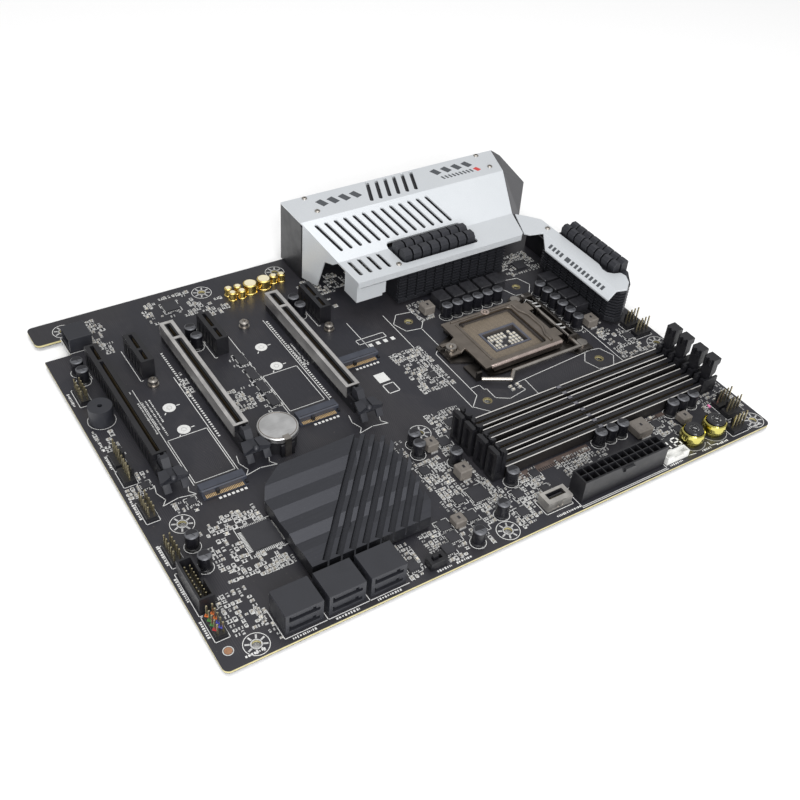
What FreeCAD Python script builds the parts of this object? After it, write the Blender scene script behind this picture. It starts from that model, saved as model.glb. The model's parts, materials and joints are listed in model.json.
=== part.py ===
import FreeCAD, Part
import math
import os

# ATX motherboard, in millimetres.
# Board coordinates: x runs from the rear connector edge to the front edge, y from the
# edge with the card slots' front-panel headers to the opposite edge, and z up from the
# component side of the circuit board. export() moves every piece to the model frame,
# whose origin is under the middle of the whole assembly.

# ---- driving dimensions -------------------------------------------------------------
board_x = 243.84
board_y = 304.8
board_thick = 1.6
corner_r = 3.0
slot_pitch = 20.32              # spacing of expansion cards
pin_pitch = 2.54                # pin headers
power_pitch = 4.2               # power connector cells

rear_overhang = 2.0             # rear connectors stand past the board's edge
under_depth = 2.0               # backplate and screw heads below the board
cover_top = 37.4                # top of the rear cover above the board
shelf_top = 25.0                # top of the cover's lower step and of the second bar
sheet = 1.0                     # cover sheet thickness

mount_hole_r = 1.98
mount_x = (10.16, 33.02, 165.1, 237.49)
mount_y = (16.51, 95.25, 140.97, 298.45)
mount_holes = [
    (mount_x[0], mount_y[0]), (mount_x[0], mount_y[1]), (mount_x[0], mount_y[2]),
    (mount_x[1], mount_y[3]),
    (mount_x[2], mount_y[0]), (mount_x[2], mount_y[2]), (mount_x[2], mount_y[3]),
    (mount_x[3], mount_y[0]), (mount_x[3], mount_y[2]), (mount_x[3], mount_y[3]),
]

socket_x = 123.4                # centre of the processor socket
socket_y = 222.5
cooler_pitch = 75.0
cooler_hole_r = 2.0

card_slot_h = 11.0
card_slot_x0 = 41.0
x16_length = 89.0
x1_length = 25.0
x16_slots_y = [21.4, 21.4 + 2 * slot_pitch, 21.4 + 5 * slot_pitch]
x1_slots_y = [21.4 + slot_pitch, 21.4 + 3 * slot_pitch, 21.4 + 6 * slot_pitch]

dimm_x = [177.8, 186.8, 197.0, 206.1]
dimm_y0 = 152.5
dimm_y1 = 297.5
dimm_h = 6.4

V = FreeCAD.Vector
X = V(1, 0, 0)
Y = V(0, 1, 0)
Z = V(0, 0, 1)

frame_shift = V(
    -(board_x - rear_overhang) / 2,
    -board_y / 2,
    board_thick + under_depth,
)


# ---- shape helpers ------------------------------------------------------------------
def block(x0, x1, y0, y1, z0, z1):
    """Box between two corners."""
    return Part.makeBox(x1 - x0, y1 - y0, z1 - z0, V(x0, y0, z0))


def centred(x, y, size_x, size_y, z0, z1):
    """Box centred on a point of the board."""
    return block(x - size_x / 2, x + size_x / 2, y - size_y / 2, y + size_y / 2, z0, z1)


def rod(x, y, r, z0, z1):
    """Upright cylinder."""
    return Part.makeCylinder(r, z1 - z0, V(x, y, z0))


def prism(points, z0, z1):
    """Upright prism over a plan outline."""
    wire = Part.makePolygon([V(x, y, z0) for x, y in points + points[:1]])
    return Part.Face(wire).extrude(V(0, 0, z1 - z0))


def prism_along_y(points, y0, y1):
    """Prism with a side profile in x and z, drawn out along y."""
    wire = Part.makePolygon([V(x, y0, z) for x, z in points + points[:1]])
    return Part.Face(wire).extrude(V(0, y1 - y0, 0))


def prism_along_x(points, x0, x1):
    """Prism with a side profile in y and z, drawn out along x."""
    wire = Part.makePolygon([V(x0, y, z) for y, z in points + points[:1]])
    return Part.Face(wire).extrude(V(x1 - x0, 0, 0))


def polyhedron(faces):
    """Solid from flat faces, each a list of corners."""
    shells = [Part.Face(Part.makePolygon([V(*p) for p in f + f[:1]])) for f in faces]
    return Part.makeSolid(Part.makeShell(shells))


def panel(corners, thickness):
    """Flat plate through four corners; the thickness goes to the underside."""
    lower = [(x, y, z - thickness) for x, y, z in corners]
    sides = []
    for i in range(len(corners)):
        j = (i + 1) % len(corners)
        sides.append([corners[i], corners[j], lower[j]])
        sides.append([corners[i], lower[j], lower[i]])
    return polyhedron([corners, lower] + sides)


def revolve(profile, x, y):
    """Turned part from a profile of radius and height about an upright axis."""
    wire = Part.makePolygon([V(x + r, y, z) for r, z in profile + profile[:1]])
    return Part.Face(wire).revolve(V(x, y, 0), Z, 360)


def bar(start, end, r):
    """Round wire between two points."""
    run = V(*end) - V(*start)
    return Part.makeCylinder(r, run.Length, V(*start), run)


def wire_rod(points, r):
    """Bent round wire with ball corners."""
    shape = bar(points[0], points[1], r)
    for a, b in zip(points[1:], points[2:]):
        shape = shape.fuse([Part.makeSphere(r, V(*a)), bar(a, b, r)])
    return shape.removeSplitter()


def upright_edges(shape, x_range, y_range):
    """Edges along z whose place in plan lies inside the ranges."""
    found = []
    for edge in shape.Edges:
        a, b = edge.Vertexes[0].Point, edge.Vertexes[-1].Point
        upright = abs(a.x - b.x) < 1e-6 and abs(a.y - b.y) < 1e-6
        inside = x_range[0] <= a.x <= x_range[1] and y_range[0] <= a.y <= y_range[1]
        if upright and inside:
            found.append(edge)
    return found


def group(shapes):
    """Several loose solids of one node."""
    return Part.makeCompound(shapes)


# ---- circuit board ------------------------------------------------------------------
notch_x = (16.5, 31.0)
notch_depth = 13.5
socket_screws_xy = [(120.8, 189.2), (98.4, 249.2), (147.6, 258.4)]
socket_screw_r = 1.8
screw_cap_r = 2.9
running_gap = 0.1


def pcb():
    board = block(0, board_x, 0, board_y, -board_thick, 0)
    board = board.cut(block(*notch_x, -1, notch_depth, -board_thick, 0))
    board = board.makeFillet(corner_r, upright_edges(board, (-1, notch_x[0] + 1), (-1, 1)))
    outer = upright_edges(board, (board_x - 1, board_x), (0, board_y))
    outer += upright_edges(board, (-1, 1), (board_y - 1, board_y))
    board = board.makeFillet(corner_r, outer)
    holes = [rod(x, y, mount_hole_r, -board_thick, 0) for x, y in mount_holes]
    half = cooler_pitch / 2
    for side_x in (-half, half):
        for side_y in (-half, half):
            holes.append(rod(socket_x + side_x, socket_y + side_y, cooler_hole_r, -board_thick, 0))
    for x, y in socket_screws_xy:
        holes.append(rod(x, y, socket_screw_r + running_gap, -board_thick, 0))
    return board.cut(holes)


# ---- processor socket ---------------------------------------------------------------
contact_x = (106.0, 141.0)
contact_y = (204.0, 238.0)
well_x = (117.5, 132.0)
well_y = (211.8, 233.0)
frame_z = (0.3, 1.5)
plate_z = (4.9, 6.1)
lever_y = 254.0
lever_z = 3.4
lever_r = 1.1
lever_run_x = 150.7
plate_hinge_y = 250.2


def cpu_backplate():
    low = -board_thick - under_depth
    outline = [(112, 183), (130, 183), (150, 206), (153, 252), (150, 262), (96, 262), (92, 252), (94, 206)]
    plate = prism(outline, low, -board_thick)
    window = block(109.5, 137.5, 208, 236, low, -board_thick)
    bores = [rod(x, y, socket_screw_r + running_gap, low, -board_thick) for x, y in socket_screws_xy]
    return plate.cut([window] + bores)


def cpu_socket_body():
    rim = 1.5
    body = block(contact_x[0] - rim, contact_x[1] + rim, contact_y[0] - rim, contact_y[1] + rim, 0, 4.0)
    recess = block(*contact_x, *contact_y, 2.6, 4.0)
    well = block(*well_x, *well_y, 0, 2.6)
    body = body.cut([recess, well])
    keys = [block(x, x + 1.0, 206.5, 207.7, 2.6, 4.0) for x in (contact_x[0], contact_x[1] - 1.0)]
    return body.fuse(keys).removeSplitter()


def socket_frame():
    """Stamped frame round the socket with the lever's bearings and its hook."""
    outline = [(114, 184.5), (127.5, 184.5), (134, 197), (146, 197), (147.5, 204), (147.5, 247),
               (153, 251), (153, 262), (95, 262), (95, 247), (102.5, 243), (102.5, 197), (108, 197)]
    flat = prism(outline, *frame_z)
    opening = block(103.7, 143.3, 201.7, 240.3, *frame_z)
    bores = [rod(x, y, socket_screw_r + running_gap, *frame_z) for x, y in socket_screws_xy]
    flat = flat.cut([opening] + bores)
    ears = []
    for x in (102.4, 142.8):
        ear = block(x, x + 1.4, 250.8, 257.2, frame_z[1], 6.2)
        journal = Part.makeCylinder(lever_r + 0.08, 1.4, V(x, lever_y, lever_z), X)
        ears.append(ear.cut(journal))
    for x0, x1 in ((105.6, 115.4), (131.6, 141.4)):
        ears.append(block(x0, x1, plate_hinge_y + 1.2, plate_hinge_y + 2.2, frame_z[1], 5.6))
    spine = block(104.0, 142.8, 256.4, 257.2, frame_z[1], 5.0)
    ears.append(spine)
    hook_arm = prism([(134, 188.5), (146.2, 188.5), (146.2, 191.5), (137, 197.5), (134, 197.5)], *frame_z)
    hook = block(144.9, 146.2, 188.5, 191.5, frame_z[1], 5.6)
    return flat.fuse(ears + [hook_arm, hook]).removeSplitter()


def socket_screws():
    """Shoulder screws from the frame to the backplate; the front one holds the plate's nose."""
    low = -board_thick - under_depth
    screws = []
    for x, y in socket_screws_xy:
        shaft = rod(x, y, socket_screw_r, low, frame_z[1])
        shoulder = rod(x, y, screw_cap_r, frame_z[1], 2.7)
        screws.append(shaft.fuse(shoulder))
    front_x, front_y = socket_screws_xy[0]
    neck = rod(front_x, front_y, 1.7, 2.7, 4.3)
    cap = rod(front_x, front_y, screw_cap_r, 4.3, 5.6)
    drive = Part.makeCylinder(1.3, 1.0, V(front_x, front_y, 4.6))
    screws[0] = screws[0].fuse([neck, cap]).cut(drive)
    return group([s.removeSplitter() for s in screws])


def socket_load_plate():
    """Pressed plate with a window, rolled sides, hinge tongues and a forked nose."""
    x0, x1 = 102.6, 145.2
    y0, y1 = 194.6, 246.6
    plate = block(x0, x1, y0, y1, *plate_z)
    window = block(106.0, 141.2, 203.0, 238.6, *plate_z)
    window = window.makeFillet(2.6, upright_edges(window, (100, 150), (200, 240)))
    plate = plate.cut(window)
    roll = [(x1, plate_z[1]), (x1 - 1.0, plate_z[1]), (x1 - 1.0, 2.4), (x1 + 0.6, 2.4), (x1 + 0.6, 5.3)]
    far = [(x0, plate_z[1]), (x0 + 1.0, plate_z[1]), (x0 + 1.0, 2.4), (x0 - 0.6, 2.4), (x0 - 0.6, 5.3)]
    sides = [prism_along_y(roll, 200.0, y1 - 1.0), prism_along_y(far, 200.0, y1 - 1.0)]
    tongues = [block(x, x + 7.0, y1 - 0.6, plate_hinge_y, 4.6, 5.8) for x in (107.0, 133.0)]
    nose_profile = [(y0 + 0.6, plate_z[1]), (y0 - 0.4, plate_z[1]), (192.0, 4.0), (185.6, 4.0), (185.6, 2.9),
                    (192.6, 2.9), (y0 + 0.6, plate_z[0])]
    nose = prism_along_x(nose_profile, socket_screws_xy[0][0] - 5.4, socket_screws_xy[0][0] + 5.4)
    front_x, front_y = socket_screws_xy[0]
    notch = rod(front_x, front_y, screw_cap_r + 0.35, 2.5, plate_z[1])
    clear_r = screw_cap_r + 0.35
    throat = block(front_x - clear_r, front_x + clear_r, front_y - 5, front_y, 2.5, plate_z[1])
    nose = nose.cut([notch, throat])
    return plate.fuse(sides + tongues + [nose]).removeSplitter()


def socket_lever():
    """Wire lever: a shaft in the frame's ears and a cranked handle beside the socket."""
    handle = [(98.6, lever_y, lever_z), (lever_run_x, lever_y, lever_z), (lever_run_x, 209.0, lever_z),
              (156.0, 203.6, lever_z), (148.6, 189.6, lever_z)]
    return wire_rod(handle, lever_r)


# ---- memory slots -------------------------------------------------------------------
tower_len = 6.2
tower_h = 17.5
bracket_h = 9.4
latch_pivot_y = 292.6
latch_pivot_z = 3.4
latch_half = 2.1
latch_pin_r = 0.9


def dimm_slot(x):
    """Card slot with a tall guide at one end and the latch bracket at the other."""
    y_low = dimm_y0 + tower_len
    y_high = dimm_y1 - 10.0
    body = block(x - 3.0, x + 3.0, y_low, y_high, 0, dimm_h)
    groove = block(x - 0.75, x + 0.75, y_low, y_high, 1.8, dimm_h)
    key = block(x - 0.75, x + 0.75, 217.6, 219.6, 1.8, dimm_h - 1.0)
    body = body.cut(groove.cut(key))
    tower = block(x - 3.6, x + 3.6, dimm_y0, y_low, 0, tower_h)
    guide = block(x - 0.75, x + 0.75, dimm_y0 + 3.0, y_low, 1.8, tower_h)
    throat = block(x - 1.9, x + 1.9, dimm_y0 + 4.6, y_low, dimm_h, tower_h)
    bite = block(x - 3.6, x + 3.6, dimm_y0 + 2.2, dimm_y0 + 3.4, tower_h - 2.4, tower_h)
    front_groove = block(x - 1.7, x + 1.7, dimm_y0, dimm_y0 + 1.4, 2.4, tower_h - 2.6)
    side_grooves = [block(x + s * 3.6 - 0.7, x + s * 3.6 + 0.7, dimm_y0 + 1.6, dimm_y0 + 4.0, 5.0, tower_h)
                    for s in (-1, 1)]
    tower = tower.cut([guide, throat, bite, front_groove] + side_grooves)
    bracket = block(x - 3.6, x + 3.6, y_high, dimm_y1, 0, bracket_h)
    seat = block(x - latch_half - 0.3, x + latch_half + 0.3, y_high + 1.4, dimm_y1, 0.8, bracket_h)
    lead = block(x - 0.75, x + 0.75, y_high, y_high + 1.4, 1.8, bracket_h)
    bore = Part.makeCylinder(latch_pin_r + 0.06, 7.2, V(x - 3.6, latch_pivot_y, latch_pivot_z), X)
    bracket = bracket.cut([seat, lead, bore])
    return body.fuse([tower, bracket]).removeSplitter()


def dimm_slots():
    return group([dimm_slot(x) for x in dimm_x])


def dimm_shields():
    """Thin steel rails clipped over the long sides of every memory slot, with tabs at the key."""
    rail_y = (dimm_y0 + 7.2, 286.6)
    rails = []
    for x in dimm_x:
        for side in (-1, 1):
            inner = x + side * 3.0
            wall_x = sorted([inner, x + side * 3.4])
            lip_x_range = sorted([x + side * 2.85, x + side * 3.4])
            tab_x = sorted([x + side * 1.6, x + side * 3.4])
            wall = block(*wall_x, *rail_y, 0.6, dimm_h + 0.4)
            lip = block(*lip_x_range, *rail_y, dimm_h, dimm_h + 0.4)
            tab = block(*tab_x, 217.4, 219.8, dimm_h, dimm_h + 0.4)
            rails.append(wall.fuse([lip, tab]).removeSplitter())
    return group(rails)


def dimm_latch(x):
    """Swinging end latch with its pin, a nose over the card's notch and a square thumb head."""
    side = [(latch_pivot_y - 2.2, 3.0), (latch_pivot_y - 1.2, 1.4), (latch_pivot_y + 1.4, 1.4),
            (latch_pivot_y + 2.2, 3.6), (latch_pivot_y + 2.6, 14.5), (latch_pivot_y + 3.8, 18.0),
            (latch_pivot_y + 3.8, 21.2), (latch_pivot_y - 2.8, 21.2), (latch_pivot_y - 2.8, 17.6),
            (latch_pivot_y - 0.8, 16.2), (latch_pivot_y - 1.4, 12.0)]
    arm = prism_along_x(side, x - latch_half, x + latch_half)
    head_side = [(latch_pivot_y - 1.4, 10.0), (latch_pivot_y + 2.4, 12.4), (latch_pivot_y + 2.4, 17.2),
                 (latch_pivot_y + 3.8, 18.2), (latch_pivot_y + 3.8, 21.2), (latch_pivot_y - 1.4, 21.2)]
    head = prism_along_x(head_side, x - 3.3, x + 3.3)
    card_gap = block(x - 0.75, x + 0.75, latch_pivot_y - 2.8, latch_pivot_y - 1.9, 17.6, 21.2)
    pin = Part.makeCylinder(latch_pin_r, 7.0, V(x - 3.5, latch_pivot_y, latch_pivot_z), X)
    return arm.fuse([head, pin]).cut(card_gap).removeSplitter()


# ---- expansion slots ----------------------------------------------------------------
slot_half = 3.4
groove_half = 0.95
key_x = 14.4                    # middle of the key bar, from the slot's rear end
latch_axis_x = card_slot_x0 + x16_length + 4.6
latch_axis_z = 4.2
latch_pin_half = 3.2
shield_slit = 1.9


def card_slot(y, length):
    """Plain card slot: a long block with ribbed sides, a groove and its key bar."""
    x0 = card_slot_x0
    x1 = x0 + length
    body = block(x0, x1, y - slot_half, y + slot_half, 0, card_slot_h)
    groove = block(x0 + 1.4, x1 - 1.4, y - groove_half, y + groove_half, 2.5, card_slot_h)
    key = block(x0 + key_x - 0.9, x0 + key_x + 0.9, y - groove_half, y + groove_half, 2.5, card_slot_h)
    flutes = []
    rib_pitch = 4.0
    for i in range(int((length - 4) / rib_pitch)):
        x = x0 + 3.0 + i * rib_pitch
        for side in (-1, 1):
            flutes.append(centred(x + 0.9, y + side * slot_half, 1.8, 0.7, 1.2, card_slot_h - 3.2))
    return body.cut([groove.cut(key)] + flutes)


def pcie_x16_slot(y):
    """Long slot with the yoke that carries its end latch."""
    body = card_slot(y, x16_length)
    x1 = card_slot_x0 + x16_length
    yoke = block(x1, x1 + 7.4, y - slot_half, y + slot_half, 0, 7.6)
    mouth = block(x1 + 1.2, x1 + 7.4, y - 2.3, y + 2.3, 0.8, 7.6)
    lead = block(x1, x1 + 1.2, y - groove_half, y + groove_half, 2.5, 7.6)
    bore = Part.makeCylinder(0.96, 2 * slot_half, V(latch_axis_x, y - slot_half, latch_axis_z), Y)
    return body.fuse(yoke.cut([mouth, lead, bore])).removeSplitter()


def pcie_shield(y):
    """Steel cap over a long slot: a top frame with skirts down both sides and both ends."""
    wall = 0.45
    x0 = card_slot_x0 - wall
    x1 = card_slot_x0 + x16_length
    top = card_slot_h + wall
    outer = block(x0, x1, y - slot_half - wall, y + slot_half + wall, 4.6, top)
    inner = block(card_slot_x0, x1, y - slot_half, y + slot_half, 4.6, card_slot_h)
    slit_y = (y - shield_slit, y + shield_slit)
    slit_a = block(card_slot_x0 + 1.4, card_slot_x0 + key_x - 0.9, *slit_y, card_slot_h, top)
    slit_b = block(card_slot_x0 + key_x + 0.9, x1 - 1.4, *slit_y, card_slot_h, top)
    shell = outer.cut([inner, slit_a, slit_b])
    return shell


def pcie_shields():
    return group([pcie_shield(y) for y in x16_slots_y[1:]])


def pcie_latch(y):
    """Rocking latch: hook over the card, pin in the yoke, and two press pads on a forked tail."""
    ax, az = latch_axis_x, latch_axis_z
    side = [(ax - 2.4, 2.2), (ax + 1.8, 2.0), (ax + 3.4, 5.4), (ax + 11.0, 7.0), (ax + 11.0, 9.2),
            (ax + 4.6, 9.2), (ax + 2.0, 13.2), (ax - 1.6, 13.2), (ax - 2.4, 12.0)]
    arm = prism_along_y(side, y - 1.9, y + 1.9)
    solids = [Part.makeSphere(1.7, V(ax + 11.2, y, 8.8))]
    for s in (-1, 1):
        plan = [(ax + 5.8, y + s * 1.6), (ax + 5.8, y + s * 5.2), (ax + 12.6, y + s * 6.9),
                (ax + 13.2, y + s * 6.0), (ax + 11.4, y + s * 1.6)]
        solids.append(prism(plan, 8.4, 10.2))
        leg = [(ax + 10.6, 8.4), (ax + 12.8, 8.4), (ax + 15.4, 4.8), (ax + 14.0, 4.6)]
        solids.append(prism_along_y(leg, min(y + s * 2.6, y + s * 6.0), max(y + s * 2.6, y + s * 6.0)))
    cross_side = [(ax + 9.6, 7.2), (ax + 12.4, 7.2), (ax + 13.0, 8.4), (ax + 9.6, 8.4)]
    cross = prism_along_y(cross_side, y - 6.0, y + 6.0)
    pin = Part.makeCylinder(0.9, 2 * latch_pin_half, V(ax, y - latch_pin_half, az), Y)
    card_gap = block(ax - 2.4, ax - 0.6, y - groove_half, y + groove_half, 7.0, 13.2)
    return arm.fuse(solids + [cross, pin]).cut(card_gap).removeSplitter()


def pcie_x1_slots():
    return group([card_slot(y, x1_length) for y in x1_slots_y])


# ---- M.2 sockets --------------------------------------------------------------------
m2_width = 22.0
# card stop, middle line, and the card lengths that have a standoff place
m2_places = [(152.2, 41.4, (80, 60, 42)), (129.3, 102.6, (80, 60, 42)), (102.2, 142.2, (30,))]


def m2_connector(stop_x, y):
    """Edge socket: a low hood over a slit that takes the card, with a solder shelf behind."""
    half = m2_width / 2
    hood = [(stop_x - 2.0, 1.0), (stop_x + 3.2, 1.0), (stop_x + 3.2, 3.9), (stop_x + 2.7, 4.2),
            (stop_x - 2.0, 4.2)]
    shape = prism_along_y(hood, y - half, y + half)
    shelf = block(stop_x - 1.0, stop_x + 4.9, y - half, y + half, 0, 1.2)
    slit = block(stop_x - 2.0, stop_x + 1.2, y - half + 1.0, y + half - 1.0, 2.2, 3.1)
    return shape.fuse(shelf).cut(slit).removeSplitter()


def m2_connectors():
    return group([m2_connector(x, y) for x, y, lengths in m2_places])


def m2_standoffs():
    """One threaded standoff at the longest card place of every socket."""
    posts = []
    for stop_x, y, lengths in m2_places:
        x = stop_x - lengths[0]
        flange = rod(x, y, 2.9, 0, 0.9)
        post = rod(x, y, 2.3, 0.9, 2.6)
        bore = rod(x, y, 1.02, 0.6, 2.6)
        posts.append(flange.fuse(post).cut(bore).removeSplitter())
    return group(posts)


def m2_screws():
    """Pan-head screws waiting in the standoffs."""
    screws = []
    for stop_x, y, lengths in m2_places:
        x = stop_x - lengths[0]
        head = revolve([(0, 2.6), (2.5, 2.6), (2.5, 3.4), (1.7, 4.1), (0, 4.1)], x, y)
        shaft = rod(x, y, 0.95, 0.8, 2.6)
        cross = [centred(x, y, 2.4, 0.5, 3.5, 4.1), centred(x, y, 0.5, 2.4, 3.5, 4.1)]
        screws.append(head.fuse(shaft).cut(cross).removeSplitter())
    return group(screws)


# ---- chipset ------------------------------------------------------------------------
pch_top = 8.6
pch_low = 1.9
pch_outline = [(176, 51), (220.1, 51), (220.1, 110), (212, 115.4), (181, 122.8), (166, 120), (156.6, 109.6),
               (158.4, 67), (168, 55.4)]
pch_screws_xy = [(166.0, 96.0), (211.0, 60.0)]
slat_angle = -40.0
slat_rise = 6.45                # spacing of the slanting grooves, measured along y
slat_count = 8
slat_gap = 3.0
slat_floor = 3.6


def chipset_heatsink():
    """Low plate with a rippled top, and slanting slats over the half nearest the memory."""
    valley = pch_top - 1.3
    ripple = [(150, pch_low), (150, 6.2), (158, 7.0), (169.2, pch_top), (176, valley), (184, pch_top),
              (190.5, valley), (199.4, pch_top), (205, valley), (211, pch_top), (222, pch_top), (222, pch_low)]
    plate = prism(pch_outline, pch_low, pch_top).common(prism_along_y(ripple, 45, 130))
    grooves = []
    for i in range(slat_count):
        run = block(-90, 0, 0, slat_gap, slat_floor, pch_top)
        run.rotate(V(0, 0, 0), Z, slat_angle)
        run.translate(V(218.6, 56.4 + i * slat_rise, 0))
        grooves.append(run)
    plate = plate.cut(grooves)
    bores = [rod(x, y, 1.3, pch_low, 5.4) for x, y in pch_screws_xy]
    return plate.cut(bores)


# ---- voltage regulator heatsinks ----------------------------------------------------
fin_pitch = 6.1
fin_gap = 1.0
fin_top = 30.2
fin_depth = 6.0
fin_front_slope = 1.8
fin_back_slope = 0.5
fins_per_row = 8
sink_low = 2.2
sink_face = shelf_top - sheet - 0.6
rear_sink_x = (47.0, 71.4)
rear_sink_y = (187.0, 260.0)
rear_fins_y = 193.0
top_sink_x = (78.0, 142.0)
top_sink_y = (282.8, 303.4)
top_fin_pitch = 5.95
top_fin_rows = [(292.6, 297.2), (298.4, 303.2)]
comb_pitch = 1.9
comb_count = 9


def fin_profile(front, back):
    """Side outline of a fin: a wide slope at the front of its top and a narrow one at the back."""
    low = sink_face - 1.0
    way = 1 if back > front else -1
    return [(front, low), (back, low), (back, fin_top - fin_back_slope), (back - way * fin_back_slope, fin_top),
            (front + way * fin_front_slope, fin_top), (front, fin_top - fin_front_slope)]


def vrm_heatsink_rear():
    """Grooved block under the cover's step; two rows of fins stand up through its window."""
    x0, x1 = rear_sink_x
    y0, y1 = rear_sink_y
    body = block(x0, x1, y0, y1, sink_low, sink_face)
    fins = []
    for i in range(fins_per_row):
        y = rear_fins_y + i * fin_pitch
        for x in (52.2, 59.8):
            fins.append(prism_along_y(fin_profile(x + fin_depth, x), y, y + fin_pitch - fin_gap))
    cuts = []
    for i in range(11):
        y = y0 + 5.0 + i * fin_pitch
        cuts.append(block(x1 - 8.0, x1, y, y + fin_gap, sink_low + 1.6, sink_face))
    for i in range(comb_count):
        z = sink_low + 3.0 + i * comb_pitch
        cuts.append(block(x1 - 2.2, x1, y0, y1, z, z + 0.9))
    return body.cut(cuts).fuse(fins).removeSplitter()


def vrm_heatsink_top():
    """Grooved block along the far edge, with the same fins behind the second bar."""
    x0, x1 = top_sink_x
    y0, y1 = top_sink_y
    outline = [(x0, y0), (137.0, y0), (141.4, 286.0), (x1, 290.4), (138.4, 296.2), (128.4, y1), (x0, y1)]
    body = prism(outline, sink_low, sink_face)
    fins = []
    for i in range(fins_per_row):
        x = x0 + 2.4 + i * top_fin_pitch
        for row in top_fin_rows:
            fins.append(prism_along_x(fin_profile(*row), x, x + top_fin_pitch - fin_gap))
    cuts = []
    for i in range(9):
        x = x0 + 5.0 + i * fin_pitch
        cuts.append(block(x, x + fin_gap, y0, y0 + 7.0, sink_low + 1.6, sink_face))
    inner = [(x0 - 1, y0 + 2.2), (136.4, y0 + 2.2), (139.4, 287.0), (139.8, 289.8), (136.8, 294.4),
             (127.0, y1 - 2.2), (x0 - 1, y1 - 2.2)]
    for i in range(comb_count):
        z = sink_low + 3.0 + i * comb_pitch
        slab = prism(outline, z, z + 0.9)
        cuts.append(slab.cut(prism(inner, z, z + 0.9)))
    return body.cut(cuts).fuse(fins).removeSplitter()


vrm_screws_xy = [(60.0, 189.6), (60.0, 262.6), (84.0, 301.0), (136.0, 290.0)]


def heatsink_screws():
    """Sprung screws that come up through the board into the heatsinks."""
    low = -board_thick - under_depth
    screws = []
    for x, y in vrm_screws_xy + pch_screws_xy:
        screws.append(rod(x, y, 3.0, low, -board_thick))
    return group(screws)


def thermal_pads():
    """Soft pads between the power transistors and the heatsinks."""
    rear = [block(60.0, 66.0, y, y + 6.0, 1.0, 2.2) for y in [206.2 + i * 9.4 for i in range(5)]]
    top = [block(x, x + 6.0, 287.0, 293.0, 1.0, 2.2) for x in [89.4 + i * 9.4 for i in range(4)]]
    return group(rear + top)


# ---- covers -------------------------------------------------------------------------
cover_y0 = 151.0
ridge_x = 23.0                  # fold between the flat top and the sloping panel
step_x = 50.3                   # fold between the sloping panel and the step
lip_x = 72.4                    # front edge of the step
step_y0 = 159.6
vent_pitch = 6.1
vent_width = 2.3


def slanted_vent(start, end, depth):
    """Cutter for one vent slot between two points of a panel."""
    run = V(*end) - V(*start)
    length = math.hypot(run.x, run.y)
    cutter = Part.makeBox(length, vent_width, depth, V(0, -vent_width / 2, -depth / 2))
    for x in (0, length):
        cutter = cutter.fuse(Part.makeCylinder(vent_width / 2, depth, V(x, 0, -depth / 2)))
    cutter.rotate(V(0, 0, 0), Z, math.degrees(math.atan2(run.y, run.x)))
    middle = (V(*start) + V(*end)) * 0.5
    cutter.translate(V(start[0], start[1], middle.z))
    return cutter


def shroud_leg():
    """Flange that drops from the near edge of the sloping panel to the board."""
    run = math.hypot(step_x - ridge_x, step_y0 - cover_y0)
    fall = cover_top - shelf_top
    outline = [(1.2, cover_top - 0.6), (run, cover_top - fall - 0.5), (run * 0.86, 21.6), (run * 0.64, 20.6),
               (run * 0.45, 1.6), (1.2, 1.6)]
    leg = prism_along_y(outline, 0, sheet)
    leg.rotate(V(0, 0, 0), Z, math.degrees(math.atan2(step_y0 - cover_y0, step_x - ridge_x)))
    leg.translate(V(ridge_x, cover_y0, 0))
    return leg


def io_shroud():
    """Folded sheet cover: flat top, sloping vented panel, windowed step, front lip and legs."""
    top = [(-1.5, cover_y0, cover_top), (ridge_x, cover_y0, cover_top),
           (ridge_x, 290.6, cover_top), (-1.5, 299.0, cover_top)]
    slope = [(ridge_x, cover_y0, cover_top), (step_x, step_y0, shelf_top),
             (step_x, 279.4, shelf_top), (ridge_x, 290.6, cover_top)]
    step = [(step_x, step_y0, shelf_top), (lip_x, step_y0, shelf_top),
            (lip_x, 270.0, shelf_top), (70.6, 272.0, shelf_top), (step_x, 279.4, shelf_top)]
    cover = panel(top, sheet).fuse([panel(slope, sheet), panel(step, sheet)])
    lip = block(lip_x - sheet, lip_x, step_y0, 270.0, shelf_top - 3.6, shelf_top)
    skirt_z = 11.4
    skirt = block(58.0, lip_x - 1.2, step_y0, 178.0, skirt_z, shelf_top - 0.5)
    skirt = skirt.cut(block(50.0, lip_x - 1.2 - sheet, step_y0 + sheet, 180.0, 0, 40))
    skirt = skirt.cut(block(lip_x - 4, lip_x, 178.0 - 2.0, 180.0, 0, skirt_z + 1.6))
    skirt = skirt.cut(block(lip_x - 4, lip_x, step_y0 + 2.4, 180.0, shelf_top - 5.0, shelf_top - 3.6))
    rear_return = block(-1.5, -0.5, cover_y0 + 1.6, 299.0, cover_top - 4.0, cover_top)
    cover = cover.fuse([lip, skirt, shroud_leg(), rear_return])
    cuts = []
    for i in range(6):
        y = 207.0 + i * vent_pitch
        cuts.append(slanted_vent((0.6, y, cover_top), (18.4, y - 7.4, cover_top), 6))
    for i in range(13):
        y = 158.6 + i * vent_pitch
        cuts.append(slanted_vent((27.0, y, 35), (43.4, y + 6.6, 28), 22))
    for i in range(4):
        y = 165.2 + i * vent_pitch
        cuts.append(slanted_vent((52.4, y, shelf_top), (65.2, y, shelf_top), 6))
    window = block(46.6, 67.0, 192.0, 243.2, 20.0, 30.0)
    window = window.makeFillet(2.4, upright_edges(window, (40, 70), (190, 250)))
    cuts.append(window)
    return cover.cut(cuts).removeSplitter()


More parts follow.
